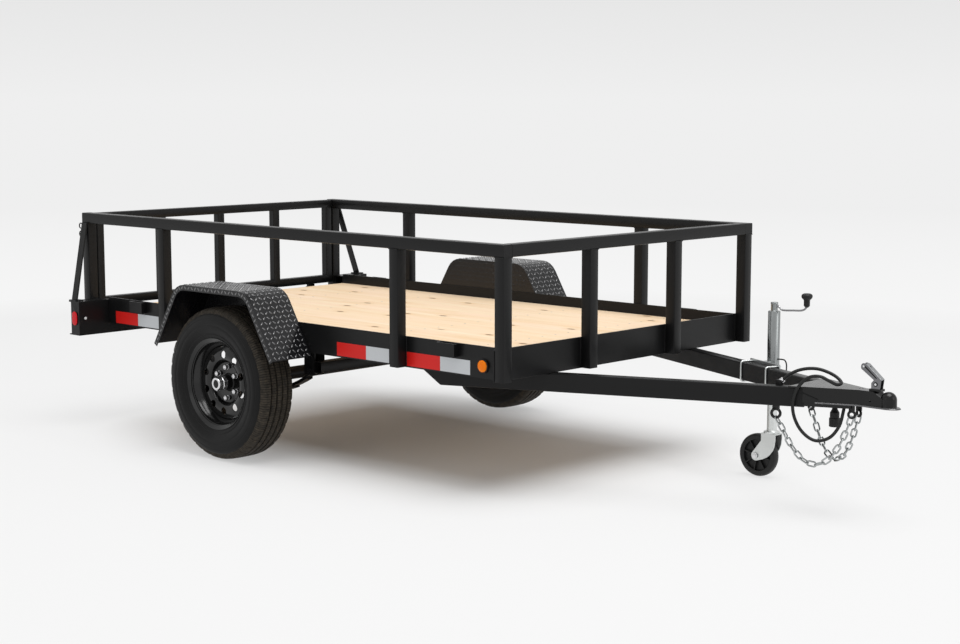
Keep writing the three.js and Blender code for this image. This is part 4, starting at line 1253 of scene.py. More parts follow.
@dataclass
class Frame:
    """The painted steel: side frames, cross members, rear channel, rails and posts."""

    packed: Packed
    members: tuple[str, ...] = (
        "front_rail", "crossmember_1", "crossmember_2", "crossmember_3", "crossmember_4", "rear_bumper",
        "top_rail_front", "axle", "spring_crossbrace")
    paired: tuple[str, ...] = (
        "side_rail", "top_rail", "rear_post", "side_post_1", "side_post_2", "corner_post", "front_post",
        "rear_brace", "leaf_spring")
    posts: tuple[str, ...] = ("rear_post", "side_post_1", "side_post_2", "corner_post", "front_post")
    end_gap: float = 0.0002
    end_plate: float = 0.002
    end_inset: float = 0.0022
    side_foot: float = 0.512
    front_foot: float = 0.515
    weld_top: float = 0.632
    spring_eye: float = 0.021
    spring_y: float = 0.722
    hanger_half: float = 0.0315
    hanger_z: float = 0.423

    def build(self) -> None:
        """Rounds the steel's edges, plugs the open tubes and adds welds and bolts."""
        for node in self.members:
            self.packed.softened(node, BLACK_PAINT)
        for node in self.paired:
            for side in Side:
                self.packed.softened(side.of(node), BLACK_PAINT)
        self.plugs()
        self.welds()
        self.bolts()

    def plugs(self) -> None:
        """Closes the ends of the top rails."""
        draft = Draft()
        inset = self.end_inset
        for side in Side:
            low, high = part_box(side.of("top_rail"))
            for x in (low.x + self.end_gap, high.x - self.end_gap - self.end_plate):
                draft.block((x, low.y + inset, low.z + inset),
                            (x + self.end_plate, high.y - inset, high.z - inset))
        self.packed.add(draft, "rail_end_plates", BLACK_PAINT)

    def welds(self) -> None:
        """Runs a bead round each post's head, and up beside the posts on the frame."""
        edges: list[tuple[Vector, Vector]] = []
        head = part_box("top_rail_left")[0].z
        for side in Side:
            for post in ("side_post_1", "side_post_2"):
                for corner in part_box(side.of(post)):
                    edges.append(self.upright(corner.x, side.value * RAIL_FACE, self.side_foot))
            for post in self.posts:
                low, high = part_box(side.of(post))
                corners = [Vector((x, y, head)) for x, y in (
                    (low.x, low.y), (high.x, low.y), (high.x, high.y), (low.x, high.y))]
                edges.extend(zip(corners, corners[1:] + corners[:1]))
            for post in ("corner_post", "front_post"):
                low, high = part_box(side.of(post))
                edges.extend(self.upright(low.x, y, self.front_foot) for y in (low.y, high.y))
        beads = bead_pattern(0.0022, 0.004)
        self.packed.strew("post_welds", beads, seams("post_weld_lines", edges))

    def upright(self, x: float, y: float, foot: float) -> tuple[Vector, Vector]:
        """The ends of an upright weld, from its foot to the common top."""
        return Vector((x, y, foot)), Vector((x, y, self.weld_top))

    def bolts(self) -> None:
        """Puts a nut on each end of the bolts through the springs' eyes."""
        places = []
        for side in Side:
            low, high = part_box(side.of("leaf_spring"))
            for x in (low.x + self.spring_eye, high.x - self.spring_eye):
                for out in (-1, 1):
                    y = side.value * self.spring_y + out * self.hanger_half
                    places.append(((x, y, self.hanger_z), (0, out, 0), 0.3))
        nuts = bolt_pattern("hanger_bolts", BLACK_PAINT, 0.026, 0.008)
        self.packed.strew("hanger_bolts", nuts, spots("hanger_bolt_spots", places))


@dataclass
class Deck:
    """Planed boards along the trailer, with screws over the cross members."""

    packed: Packed
    boards: int = 9
    crossmembers: int = 4
    gap_half: float = 0.0002
    ease: float = 0.0012
    screw_radius: float = 0.0045
    screw_height: float = 0.0014

    def build(self) -> None:
        """Makes the boards and the screws."""
        low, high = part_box("deck")
        width = (high.y - low.y) / self.boards
        draft = Draft()
        for index in range(self.boards):
            left = low.y + index * width
            draft.block((low.x, left + self.gap_half, low.z), (high.x, left + width - self.gap_half, high.z))
        deck = draft.piece("deck_boards", TIMBER)
        shade = deck.data.attributes.new("board", "FLOAT", "POINT")
        shade.data.foreach_set("value", [(vertex // 8 * 0.618) % 1 for vertex in range(8 * self.boards)])
        self.packed.settle(bevelled(deck, self.ease), Body.CHASSIS, TIMBER, "deck")

        places = []
        for member in range(self.crossmembers):
            x = self.packed.middle(f"crossmember_{member + 1}").x
            for index in range(self.boards):
                for share in (0.25, 0.75):
                    spot = (x, low.y + (index + share) * width, high.z - 0.0004)
                    places.append((spot, (0, 0, 1), index * 0.7 + share))
        screws = screw_pattern(self.screw_radius, self.screw_height)
        self.packed.strew("deck_screws", screws, spots("deck_screw_spots", places))


@dataclass
class Tailgate:
    """The drop-down gate and its latches."""

    packed: Packed

    def build(self) -> None:
        """Rounds the gate and its latches."""
        self.packed.softened("gate_frame", BLACK_PAINT)
        for side in Side:
            self.packed.softened(side.of("gate_latch"), PLASTIC, 0.4 * MM)


# ---- lamps and tape


@dataclass
class Lamps:
    """One side's lamps and reflective tape."""

    packed: Packed
    side: Side
    steps: int = 10
    tail_rows: Pairs = ((1.0, 0.006), (0.965, 0.003), (0.90, 0.0012), (0.7, 0.0004), (0.35, 0.0001))
    marker_x: float = 0.1024
    marker_z: float = 0.5405
    marker_oval: tuple[float, float] = (0.044, 0.072)
    marker_rows: Pairs = ((0.94, -0.001), (0.94, 0.0012), (0.86, 0.0022), (0.5, 0.0028))
    stud_y: float = 0.926
    stud_z: float = 0.541
    stud_radius: float = 0.0070
    amber: Triple = (2.6915, 0, 0.5558)
    amber_face: float = 0.7939
    amber_dome: Pairs = (
        (0, -0.004), (0.0240, -0.004), (0.0240, 0.004), (0.0215, 0.0062), (0.015, 0.0082), (0.007, 0.0092),
        (0, 0.0095))
    amber_rim: Pairs = (
        (0.0248, -0.004), (0.0285, -0.004), (0.0285, 0.0016), (0.0275, 0.003), (0.0258, 0.003),
        (0.0248, 0.0014))
    red_runs: Pairs = ((0.195, 0.378), (1.822, 2.005), (2.2525, 2.447))
    white_runs: Pairs = ((0.3785, 0.548), (2.0055, 2.147), (2.4475, 2.616))
    tape_low: float = 0.511
    tape_high: float = 0.570

    def build(self) -> None:
        """Makes every lamp and strip."""
        self.tail_lamp()
        self.side_marker()
        self.amber_lamp()
        self.tape()

    def tail_lamp(self) -> None:
        """Makes a level oval lens that faces back."""
        low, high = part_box(self.side.of("tail_lamp"))
        centre = (low + high) / 2
        oval = stadium(high.z - low.z, high.y - low.y, self.steps)
        rows = [(1.0, high.x)] + [(share, low.x + depth) for share, depth in self.tail_rows]
        rings = [[Vector((x, centre.y + share * b, centre.z + share * a)) for a, b in oval]
                 for share, x in rows]
        lens = Draft().skin(rings, capped=True)
        self.packed.add(lens, self.side.of("tail_lens"), RED_LENS, self.side.of("tail_lamp"), sharp=50)

    def side_marker(self) -> None:
        """Makes the red lens on a light box's outboard end, and the stud on the box's front."""
        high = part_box("rear_bumper")[1]
        centre = self.packed.at(self.marker_x, self.side.value * high.y, self.marker_z)
        oval = stadium(*self.marker_oval, self.steps)
        rings = [[centre + Vector((share * a, self.side.value * out, share * b)) for a, b in oval]
                 for share, out in self.marker_rows]
        lens = Draft().skin(rings, capped=True)
        self.packed.add(lens, self.side.of("marker_lens"), RED_LENS)
        spot = Vector((high.x, self.side.value * self.stud_y, self.stud_z))
        ends = [spot - Vector((0.001, 0, 0)), spot + Vector((0.003, 0, 0))]
        # The stud's pale paint is a painted highlight.
        stud = Draft().tube(ends, self.stud_radius, 20)
        self.packed.add(stud, self.side.of("marker_stud"), STUD_HIGHLIGHT_PAINT, bevel=0.8 * MM)

    def amber_lamp(self) -> None:
        """Makes a round amber lens in a rubber ring, near the front of a side frame."""
        centre = self.packed.at(*self.amber)
        lens = Draft().solid(self.amber_dome, 40, centre)
        ring = Draft().turned(self.amber_rim, 40, centre)
        for draft, label, finish in ((lens, "amber_lens", AMBER_LENS), (ring, "amber_ring", SOFT_RUBBER)):
            for vertex in draft.vertices:
                vertex.y = self.side.value * (self.amber_face + vertex.y)
            self.packed.add(draft, self.side.of(label), finish)

    def tape(self) -> None:
        """Makes the strips of tape along a side frame, between the posts and the wheel."""
        inner, outer = self.side.value * (RAIL_FACE - 0.1 * MM), self.side.value * (RAIL_FACE + 0.3 * MM)
        for finish, runs in ((RED_TAPE, self.red_runs), (WHITE_TAPE, self.white_runs)):
            draft = Draft()
            for start, end in runs:
                draft.block(self.packed.at(start, inner, self.tape_low),
                            self.packed.at(end, outer, self.tape_high))
            self.packed.add(draft, self.side.of(finish.name), finish)


# ---- fenders and wheels


@dataclass
class Fender:
    """A fender of tread plate."""

    packed: Packed
    side: Side
    half_top: float = 0.249
    bend: float = 0.100
    bend_steps: int = 8
    skirt: float = 0.025
    inner: float = 0.7902
    plate: float = 0.003
    bottom: float = 0.490
    pitch: float = 0.0235
    length: float = 0.0195
    width: float = 0.0076
    height: float = 0.0018
    play: float = 0.0003
    back_foot: float = 0.648
    back_inset: float = 0.060
    back_spread: float = 0.8
    back_start: float = 0.7

    def top_line(self) -> list[Vector]:
        """The top's outline.

        Returns:
            Close points from rear to front, with Y at zero.
        """
        low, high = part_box(self.side.of("fender"))
        middle = (low.x + high.x) / 2
        corners = [Vector((low.x, 0, self.bottom)), Vector((middle - self.half_top, 0, high.z)),
                   Vector((middle + self.half_top, 0, high.z)), Vector((high.x, 0, self.bottom))]
        line = [corners[0]]
        for before, corner, after in zip(corners, corners[1:], corners[2:]):
            first, second = (corner - before).normalized(), (after - corner).normalized()
            turn = first.angle(second)
            centre = corner + (second - first).normalized() * self.bend / math.cos(turn / 2)
            start = corner - first * self.bend * math.tan(turn / 2) - centre
            for step in range(self.bend_steps + 1):
                line.append(centre + Matrix.Rotation(turn * step / self.bend_steps, 3, "Y") @ start)
        return [*line, corners[3]]

    def build(self) -> None:
        """Rounds the solid, sinks its outer edge a little and sets the plate's bars on it."""
        piece = self.packed.softened(self.side.of("fender"), FENDER_PAINT, 0.8 * MM)
        reach = max(abs(corner.y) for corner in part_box(self.side.of("fender")))
        edge = self.side.value * (reach - self.height - self.play)
        for vertex in piece.data.vertices:
            if abs(vertex.co.y) > reach - 0.0005:
                vertex.co.y = edge
        # The outer bars get the lighter paint as a painted highlight; the back bars keep the plate's paint.
        for label, places, finish in (("bars", self.outer_places(reach, edge), BAR_HIGHLIGHT_PAINT),
                                      ("back_bars", self.back_places(), FENDER_PAINT)):
            bars = bar_pattern(finish, self.length, self.width, self.height)
            host = spots(self.side.of(f"fender_{label}_spots"), places)
            self.packed.strew(self.side.of(f"fender_{label}"), bars, host)

    def outer_places(self, reach: float, edge: float) -> list[Place]:
        """Rows of bars over the top, and one along the edge that is turned down.

        Args:
            reach: How far the fender reaches from the middle plane.
            edge: Y of its outer face.

        Returns:
            The bars' places.
        """
        places = []
        line = self.top_line()
        for row, (point, way) in enumerate(spaced(line, int(length_of(line) / self.pitch))):
            normal = Vector((-way.z, 0, way.x))
            for column in range(int((reach - self.inner) / self.pitch)):
                y = self.side.value * (self.inner + (column + 0.5) * self.pitch)
                places.append(self.bar(Vector((point.x, y, point.z)), normal, row + column))
            under = point - normal * self.skirt / 2
            places.append(self.bar(Vector((under.x, edge, under.z)), Vector((0, self.side.value, 0)), row))
        return places

    def back_places(self) -> list[Place]:
        """Level rows of bars over the back plate, above the side frame.

        Returns:
            The bars' places.
        """
        low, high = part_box(self.side.of("fender"))
        middle = (low.x + high.x) / 2
        inward = Vector((0, -self.side.value, 0))
        places = []
        for row in range(int((high.z - self.back_foot) / self.pitch)):
            depth = (row + self.back_start) * self.pitch
            columns = int((self.half_top - self.back_inset + depth * self.back_spread) / self.pitch)
            for column in range(-columns, columns + 1):
                y = self.side.value * (self.inner - self.plate)
                point = Vector((middle + column * self.pitch, y, high.z - depth))
                places.append(self.bar(point, inward, row + column))
        return places

    def bar(self, point: Vector, normal: Vector, parity: int) -> Place:
        """A bar's place, turned one way or the other like a chessboard's squares."""
        return point, normal, math.radians(45 if parity % 2 else -45)


@dataclass
class Wheel:
    """A tyre, a rim and a hub."""

    packed: Packed
    side: Side
    steps: int = 216
    notch_every: int = 6
    notch_depth: float = 0.0045
    crown: float = 0.3437
    crown_fall: float = 0.0018
    crown_half: float = 0.0615
    groove_places: tuple[float, ...] = (-0.046, -0.0155, 0.0155, 0.046)
    groove_half: float = 0.0050
    groove_depth: float = 0.0090
    groove_lean: float = 0.0012
    shoulder: Pairs = (
        (0.3170, -0.088), (0.3255, -0.085), (0.3330, -0.080), (0.3378, -0.0745), (0.3405, -0.068))
    sidewall: Pairs = (
        (0.1905, 0.0757), (0.2060, 0.0835), (0.2125, 0.0862), (0.2165, 0.0895), (0.2195, 0.0918),
        (0.2225, 0.0928), (0.2255, 0.0918), (0.2280, 0.0915), (0.2330, 0.0945), (0.2420, 0.0985),
        (0.2520, 0.1012), (0.2640, 0.1022), (0.2660, 0.1014), (0.2680, 0.1022), (0.2800, 0.1019),
        (0.2925, 0.1005), (0.2945, 0.0993), (0.2965, 0.1000), (0.3050, 0.0975), (0.3110, 0.0945),
        (0.3128, 0.0925), (0.3140, 0.0905))
    barrel: Pairs = (
        (0.1897, -0.0762), (0.1897, -0.0605), (0.1850, -0.0560), (0.1660, -0.0240), (0.1660, 0.0340),
        (0.1850, 0.0560), (0.1897, 0.0605), (0.1897, 0.0762), (0.2000, 0.0835), (0.2050, 0.0862),
        (0.2066, 0.0858), (0.2068, 0.0842), (0.2020, 0.0812), (0.1870, 0.0700), (0.1850, 0.0620),
        (0.1800, 0.0545), (0.1610, 0.0340), (0.1610, -0.0240), (0.1800, -0.0545), (0.1850, -0.0620),
        (0.1870, -0.0700), (0.2020, -0.0812), (0.2068, -0.0842), (0.2066, -0.0858), (0.2050, -0.0862),
        (0.2000, -0.0835))
    disc: Pairs = (
        (0.1625, 0.0300), (0.1560, 0.0322), (0.1460, 0.0365), (0.1360, 0.0402), (0.1280, 0.0415),
        (0.1180, 0.0408), (0.1080, 0.0380), (0.1030, 0.0350), (0.1000, 0.0300), (0.0965, 0.0215),
        (0.0930, 0.0145), (0.0890, 0.0110), (0.0800, 0.0100), (0.0600, 0.0090), (0.0420, 0.0080))
    disc_back: tuple[float, float] = (0.001, 0.005)
    hand_holes: int = 10
    hole_circle: float = 0.128
    hole_radius: float = 0.0170
    hub: Pairs = (
        (0.0155, -0.070), (0.036, -0.070), (0.038, -0.020), (0.060, -0.014), (0.086, -0.012),
        (0.086, 0.0020), (0.041, 0.0024), (0.040, 0.0100), (0.0345, 0.0140), (0.0330, 0.0400),
        (0.0155, 0.0400))
    cap: Pairs = (
        (0.0325, 0.0340), (0.0330, 0.0600), (0.0302, 0.0640), (0.0292, 0.0810), (0.0272, 0.0838),
        (0.0190, 0.0842), (0.0175, 0.0825), (0.0175, 0.0700), (0.0300, 0.0340))
    cork: Pairs = (
        (0, 0.0700), (0.0172, 0.0700), (0.0172, 0.0822), (0.0160, 0.0845), (0.0100, 0.0855), (0, 0.0857))
    studs: int = 6
    stud_circle: float = 0.06985
    stud_seat: float = 0.0085
    centre: Vector = field(init=False)
    body: Body = field(init=False)

    def __post_init__(self) -> None:
        """Finds the wheel's middle and its body."""
        low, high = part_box(self.side.of("tyre"))
        middle = (low + high) / 2
        self.centre = Vector((middle.x, middle.y, high.z / 2))
        self.body = Body(self.side.of("wheel"))

    def build(self) -> None:
        """Makes the tyre, the rim and the hub."""
        self.tyre()
        self.rim()
        self.middle()

    def outward(self, profile: Pairs) -> list[tuple[float, float]]:
        """A (radius, outward) profile as (radius, along Y)."""
        return [(radius, self.side.value * along) for radius, along in profile]

    def tread(self) -> list[tuple[float, float, bool]]:
        """The tread's profile.

        Returns:
            Points (radius, along, whether on a shoulder) from one edge to the other.
        """
        edge = [(radius, along, True) for radius, along in self.shoulder]
        ribs = []
        lean = self.groove_half - self.groove_lean
        for place in self.groove_places:
            crown = self.crown - self.crown_fall * (abs(place) / self.crown_half) ** 2
            for along, depth in ((-self.groove_half, 0), (-lean, self.groove_depth),
                                 (lean, self.groove_depth), (self.groove_half, 0)):
                ribs.append((crown - depth, place + along, False))
        return edge + ribs + [(radius, -along, True) for radius, along, _ in reversed(edge)]

    def tyre(self) -> None:
        """Turns the tyre's section, with notches in its shoulders."""
        section = [(radius, -along, False) for radius, along in self.sidewall]
        first = len(section)
        section += self.tread()
        last = len(section) - 1
        section += [(radius, along, False) for radius, along in reversed(self.sidewall)]
        rings = []
        for step in range(self.steps):
            angle = math.tau * step / self.steps
            notch = self.notch_depth if step % self.notch_every == 0 else 0.0
            rings.append([self.centre + spun(radius - (notch if shoulder else 0.0), along, angle, Axis.Y)
                          for radius, along, shoulder in section])
        draft = Draft().skin(rings, closed_path=True)
        draft.slots = [int(first <= face % len(section) < last) for face in range(len(draft.faces))]
        piece = draft.piece(self.side.of("tyre_body"), SIDEWALL, TREAD, sharp=30)
        layer = piece.data.uv_layers.new(name="round")
        for loop in piece.data.loops:
            spot = piece.data.vertices[loop.vertex_index].co - self.centre
            layer.data[loop.index].uv = (math.atan2(spot.z, spot.x) / math.tau, spot.y)
        self.packed.settle(piece, self.body, SIDEWALL, self.side.of("tyre"))

    def rim(self) -> None:
        """Turns the barrel and the disc, and cuts the disc's hand holes."""
        inset, depth = self.disc_back
        section = [*self.disc, *((radius - inset, along - depth) for radius, along in reversed(self.disc))]
        disc = Draft().turned(self.outward(section), 120, self.centre)
        piece = disc.piece(self.side.of("rim_disc"), WHEEL_PAINT)
        holes = Draft()
        for index in range(self.hand_holes):
            angle = (index + 0.5) * math.tau / self.hand_holes
            spot = self.centre + spun(self.hole_circle, 0.0, angle, Axis.Y)
            holes.solid(self.outward(rod(self.hole_radius, 0.02, 0.06)), 28, spot)
        cut(piece, holes)
        self.packed.settle(bevelled(piece, 0.8 * MM, 2, 40), self.body, WHEEL_PAINT)
        barrel = Draft().turned(self.barrel, 120, self.centre)
        self.packed.add(barrel, self.side.of("rim_barrel"), WHEEL_PAINT, self.side.of("rim"), body=self.body)

    def middle(self) -> None:
        """Makes the hub, its bright cap with a plug, and the wheel nuts."""
        hub = Draft().turned(self.outward(self.hub), 64, self.centre)
        self.packed.add(hub, self.side.of("hub_barrel"), BLACK_PAINT, self.side.of("hub"), body=self.body)
        cap = Draft().turned(self.outward(self.cap), 64, self.centre)
        self.packed.add(cap, self.side.of("hub_cap"), CHROME, body=self.body)
        cork = Draft().solid(self.outward(self.cork), 48, self.centre)
        self.packed.add(cork, self.side.of("hub_plug"), SOFT_RUBBER, body=self.body)

        places = []
        for index in range(self.studs):
            angle = (index + 0.5) * math.tau / self.studs
            spot = self.centre + spun(self.stud_circle, self.side.value * self.stud_seat, angle, Axis.Y)
            places.append((spot, (0, self.side.value, 0), 0.2 + index))
        host = spots(self.side.of("wheel_nut_spots"), places)
        self.packed.strew(self.side.of("wheel_nuts"), nut_pattern(0.0215, 0.017), host, body=self.body)


# ---- tongue, coupler and chains


@dataclass
class Tongue:
    """The A-frame's beams and the cable's clip."""

    packed: Packed
    sleeve_radius: float = 0.0104
    sleeve_places: tuple[float, ...] = (0.0, 0.004, 0.022, 0.0268)

    def build(self) -> None:
        """Rounds the beams and adds the clip's sleeve behind the start of the cable."""
        for side in Side:
            self.packed.softened(side.of("tongue_beam"), BLACK_PAINT)
        start, after = (self.packed.at(*point) for point in Wiring.route[:2])
        way = (after - start).normalized()
        sleeve = Draft().tube([start - way * reach for reach in self.sleeve_places], self.sleeve_radius, 28)
        self.packed.add(sleeve, "cable_sleeve", CHROME, bevel=0.8 * MM)


@dataclass
class Coupler:
    """The cast coupler with its lip and dome, and the latch lever."""

    packed: Packed
    ball: Triple = (4.053, 0.0, 0.481)
    neck: float = 3.940
    neck_half: float = 0.028
    dome: float = 0.031
    socket: float = 0.0264
    cup_rim: Pairs = ((0.003, 0), (0.003, 0.004), (0.0012, 0.0048), (0.0003, 0.0070))
    wall: float = 0.005
    top: float = 0.510
    dip: float = 0.487
    dip_start: float = 3.994
    wall_start: float = 3.742
    bores: tuple[Place, ...] = (
        ((3.9236, 0.0041, 0.5075), (0, 0, 1), 0.0036), ((3.9325, 0.0124, 0.5075), (0, 0, 1), 0.0036),
        ((3.9884, -0.0255, 0.4722), (0, 1, 0), 0.0040), ((3.9884, 0.0255, 0.4722), (0, 1, 0), 0.0040))
    weld_ends: Pairs = ((3.740, 0.487), (3.797, 0.463))
    lip_start: float = 3.790
    lip_side: float = 0.010
    lip_nose: float = 0.049
    lip_plate: float = 0.004
    keel_front: float = 3.910
    keel_depths: tuple[float, float] = (-0.001, 0.014)
    pivot: Triple = (4.002, 0.0, 0.536)
    roller: Triple = (3.9485, 0.0, 0.6005)
    lever: Pairs = (
        (3.983, 0.517), (4.020, 0.517), (4.025, 0.553), (4.0145, 0.563), (3.958, 0.6100), (3.952, 0.6127),
        (3.944, 0.6120), (3.938, 0.6060), (3.936, 0.5970), (3.9385, 0.5890), (3.9440, 0.5860),
        (3.993, 0.5520), (3.9825, 0.539))
    lever_half: float = 0.0112
    lever_plate: float = 0.0028
    groove: Pairs = ((4.0040, 0.5570), (4.0070, 0.5602), (3.9560, 0.6025), (3.9520, 0.5980))
    groove_plate: float = 0.0034
    rear: float = field(init=False)
    rear_half: float = field(init=False)
    foot: float = field(init=False)

    def __post_init__(self) -> None:
        """Takes the rear end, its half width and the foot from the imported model."""
        low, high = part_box("coupler")
        self.rear, self.rear_half, self.foot = low.x - self.packed.rear, high.y, low.z

    def build(self) -> None:
        """Makes the coupler and its latch."""
        self.body()
        self.cup()
        self.lip()
        self.latch()

    def half_width(self, x: float) -> float:
        """Half the coupler's outer width at a distance from the rail's rear end."""
        share = min(1.0, (x - self.rear) / (self.neck - self.rear))
        return self.rear_half + share * (self.neck_half - self.rear_half)

    def front(self, y: float) -> float:
        """Where the channel meets the dome, at a distance from the middle."""
        shell = self.dome - 0.0025
        return self.ball[0] - math.sqrt(max(0.0, shell ** 2 - min(abs(y), 0.0272) ** 2))

    def body(self) -> None:
        """Makes the channel: a flat top on two walls, dipping down to the dome."""
        steps = [(self.rear, False), (self.wall_start, False), (self.wall_start, True), (self.neck, True),
                 (self.dip_start - 0.010, True)]
        rings = [self.section(x, 0.0, walled) for x, walled in steps]
        rings += [self.section(self.dip_start, step / 8, True) for step in range(9)]
        piece = Draft().skin(rings, capped=True).piece("coupler_channel", CAST_PAINT)
        for spot, way, radius in self.bores:
            drill(piece, self.packed.at(*spot), Vector(way), radius, 0.006)
        self.packed.settle(bevelled(piece, 2.0 * MM, 3), Body.CHASSIS, CAST_PAINT)

        edges = []
        for sign in (-1, 1):
            low, high = (Vector((x, sign * (self.half_width(x) + 0.0003), z)) for x, z in self.weld_ends)
            edges.append((self.packed.at(*low), self.packed.at(*high)))
        beads = bead_pattern(0.0026, 0.004)
        self.packed.strew("coupler_welds", beads, seams("coupler_weld_lines", edges))

    def section(self, x: float, dip: float, walled: bool) -> list[Vector]:
        """The channel's cross-section.

        Args:
            x: Distance from the rail's rear end, before the dip.
            dip: Share of the way down the dip, from 0 to 1.
            walled: Whether the walls reach down to the foot.

        Returns:
            Its corners.
        """
        half = self.half_width(x)
        inner, under = half - self.wall, self.top - self.wall
        fall = dip * dip * (3 - 2 * dip) * (self.top - self.dip)
        foot = self.foot if walled else under - 0.002
        spans = [-1 + step / 5 for step in range(11)]
        corners = [(-half, foot), *((half * span, self.top - fall) for span in spans), (half, foot),
                   (inner, foot), *((inner * span, under - fall) for span in reversed(spans)),
                   (-inner, foot)]
        return [self.packed.at(x + dip * (self.front(y) - x), y, z) for y, z in corners]

    def cup(self) -> None:
        """Makes the dome over the ball, open below."""
        centre = self.packed.at(*self.ball)
        profile = arc((0, centre.z), self.socket, 90, 0, 9) + [(self.socket, self.foot)]
        profile += [(self.dome + out, self.foot + up) for out, up in self.cup_rim]
        profile += arc((0, centre.z), self.dome, 0, 90, 12)
        cup = Draft().solid(profile, 72, (centre.x, 0, 0), Axis.Z)
        self.packed.add(cup, "coupler_dome", CAST_PAINT, "coupler", sharp=40)

    def lip(self) -> None:
        """Makes the flange along both walls and round the nose, and a low edge under each wall."""
        nose = self.ball[0]
        straight = [(x, self.half_width(x) + self.lip_side, self.half_width(x) - self.wall)
                    for x in (self.lip_start, self.neck, nose - 0.016)]
        line = [((x, -outer), (x, -inner)) for x, outer, inner in straight]
        for step in range(25):
            turn = math.radians(-90 + step * 7.5)
            across, along = math.sin(turn), math.cos(turn)
            line.append(((nose + self.lip_nose * along, (self.neck_half + self.lip_side) * across),
                         (nose + self.socket * along, self.socket * across)))
        line += [((x, outer), (x, inner)) for x, outer, inner in reversed(straight)]
        high = self.foot + self.lip_plate
        rings = []
        for outer, inner in line:
            crest = (outer[0] + (inner[0] - outer[0]) * 0.25, outer[1] + (inner[1] - outer[1]) * 0.25)
            rings.append([self.packed.at(*outer, self.foot), self.packed.at(*outer, self.foot + 0.0012),
                          self.packed.at(*crest, high + 0.0015), self.packed.at(*inner, high + 0.002),
                          self.packed.at(*inner, self.foot)])
        lip = Draft().skin(rings, capped=True)
        # The lip's lighter paint is a painted glint.
        self.packed.add(lip, "coupler_lip", LIP_GLINT_PAINT, bevel=0.6 * MM)

        keel = Draft()
        rear, front = self.wall_start + 0.004, self.keel_front
        outline = ((rear, 0.0008), (front - 0.015, 0.0008), (front, 0.0060), (front, 0.0120), (rear, 0.0120))
        for sign in (-1, 1):
            plan = [(x, sign * (self.half_width(x) - inset)) for x, inset in outline]
            rows = [[self.packed.at(x, y, self.foot - depth) for x, y in plan] for depth in self.keel_depths]
            keel.skin(rows, capped=True)
        self.packed.add(keel, "coupler_keel", CAST_PAINT, bevel=1.5 * MM)

    def cheeks(self, draft: Draft, outline: Sequence[Vector], thickness: float) -> Draft:
        """Adds a plate on each side of the lever.

        Args:
            draft: The draft they go into.
            outline: Their corners, seen from the side.
            thickness: Their thickness.

        Returns:
            The draft.
        """
        flat = [(point.x, point.z) for point in outline]
        for sign in (-1, 1):
            outer = (0, sign * self.lever_half + thickness / 2, 0)
            draft.plate(flat, outer, (1, 0, 0), (0, 0, 1), thickness)
        return draft

    def latch(self) -> None:
        """Makes the lever: a pressed channel round a bolt, on a small base."""
        side_on = [self.packed.at(x, 0, z) for x, z in self.lever]
        sides = self.cheeks(Draft(), side_on, self.lever_plate)
        self.packed.add(sides, "latch_sides", LATCH_ZINC, "coupler_latch", bevel=0.5 * MM)

        low, high = side_on[2], side_on[4]
        along = (high - low).normalized()
        reach = (high - low).length
        outline = [(-0.0124, 0), (-0.0124, reach), (0.0124, reach), (0.0124, 0)]
        # The lever's top web gets a zinc twice as pale as its sides.
        cover = Draft().plate(outline, low, (0, 1, 0), along, 0.0026).piece("latch_web", PALE_ZINC)
        drill(cover, low.lerp(high, 0.80), Vector((along.z, 0, -along.x)), 0.0045, 0.008)
        self.packed.settle(bevelled(cover, 0.6 * MM), Body.CHASSIS, PALE_ZINC)

        pivot, roller = self.packed.at(*self.pivot), self.packed.at(*self.roller)
        bolts = Draft().solid(rod(0.0046, -0.0150, 0.0150), 20, pivot)
        bolts.solid(rod(0.0042, -0.0140, 0.0140), 20, roller)
        self.packed.add(bolts, "latch_bolts", CHROME)
        # Black disc round the pivot and black strips along the lever's groove: painted shade in the recess
        # and the crease.
        recess = Draft().solid(rod(0.0088, -0.0138, 0.0138), 24, pivot)
        self.cheeks(recess, [self.packed.at(x, 0, z) for x, z in self.groove], self.groove_plate)
        self.packed.add(recess, "latch_recess", BLACK_PAINT)
        base = Draft().block(self.packed.at(3.976, -0.0165, self.top - 0.001),
                             self.packed.at(4.026, 0.0165, 0.5185))
        self.packed.add(base, "latch_base", CAST_PAINT, bevel=1.0 * MM)


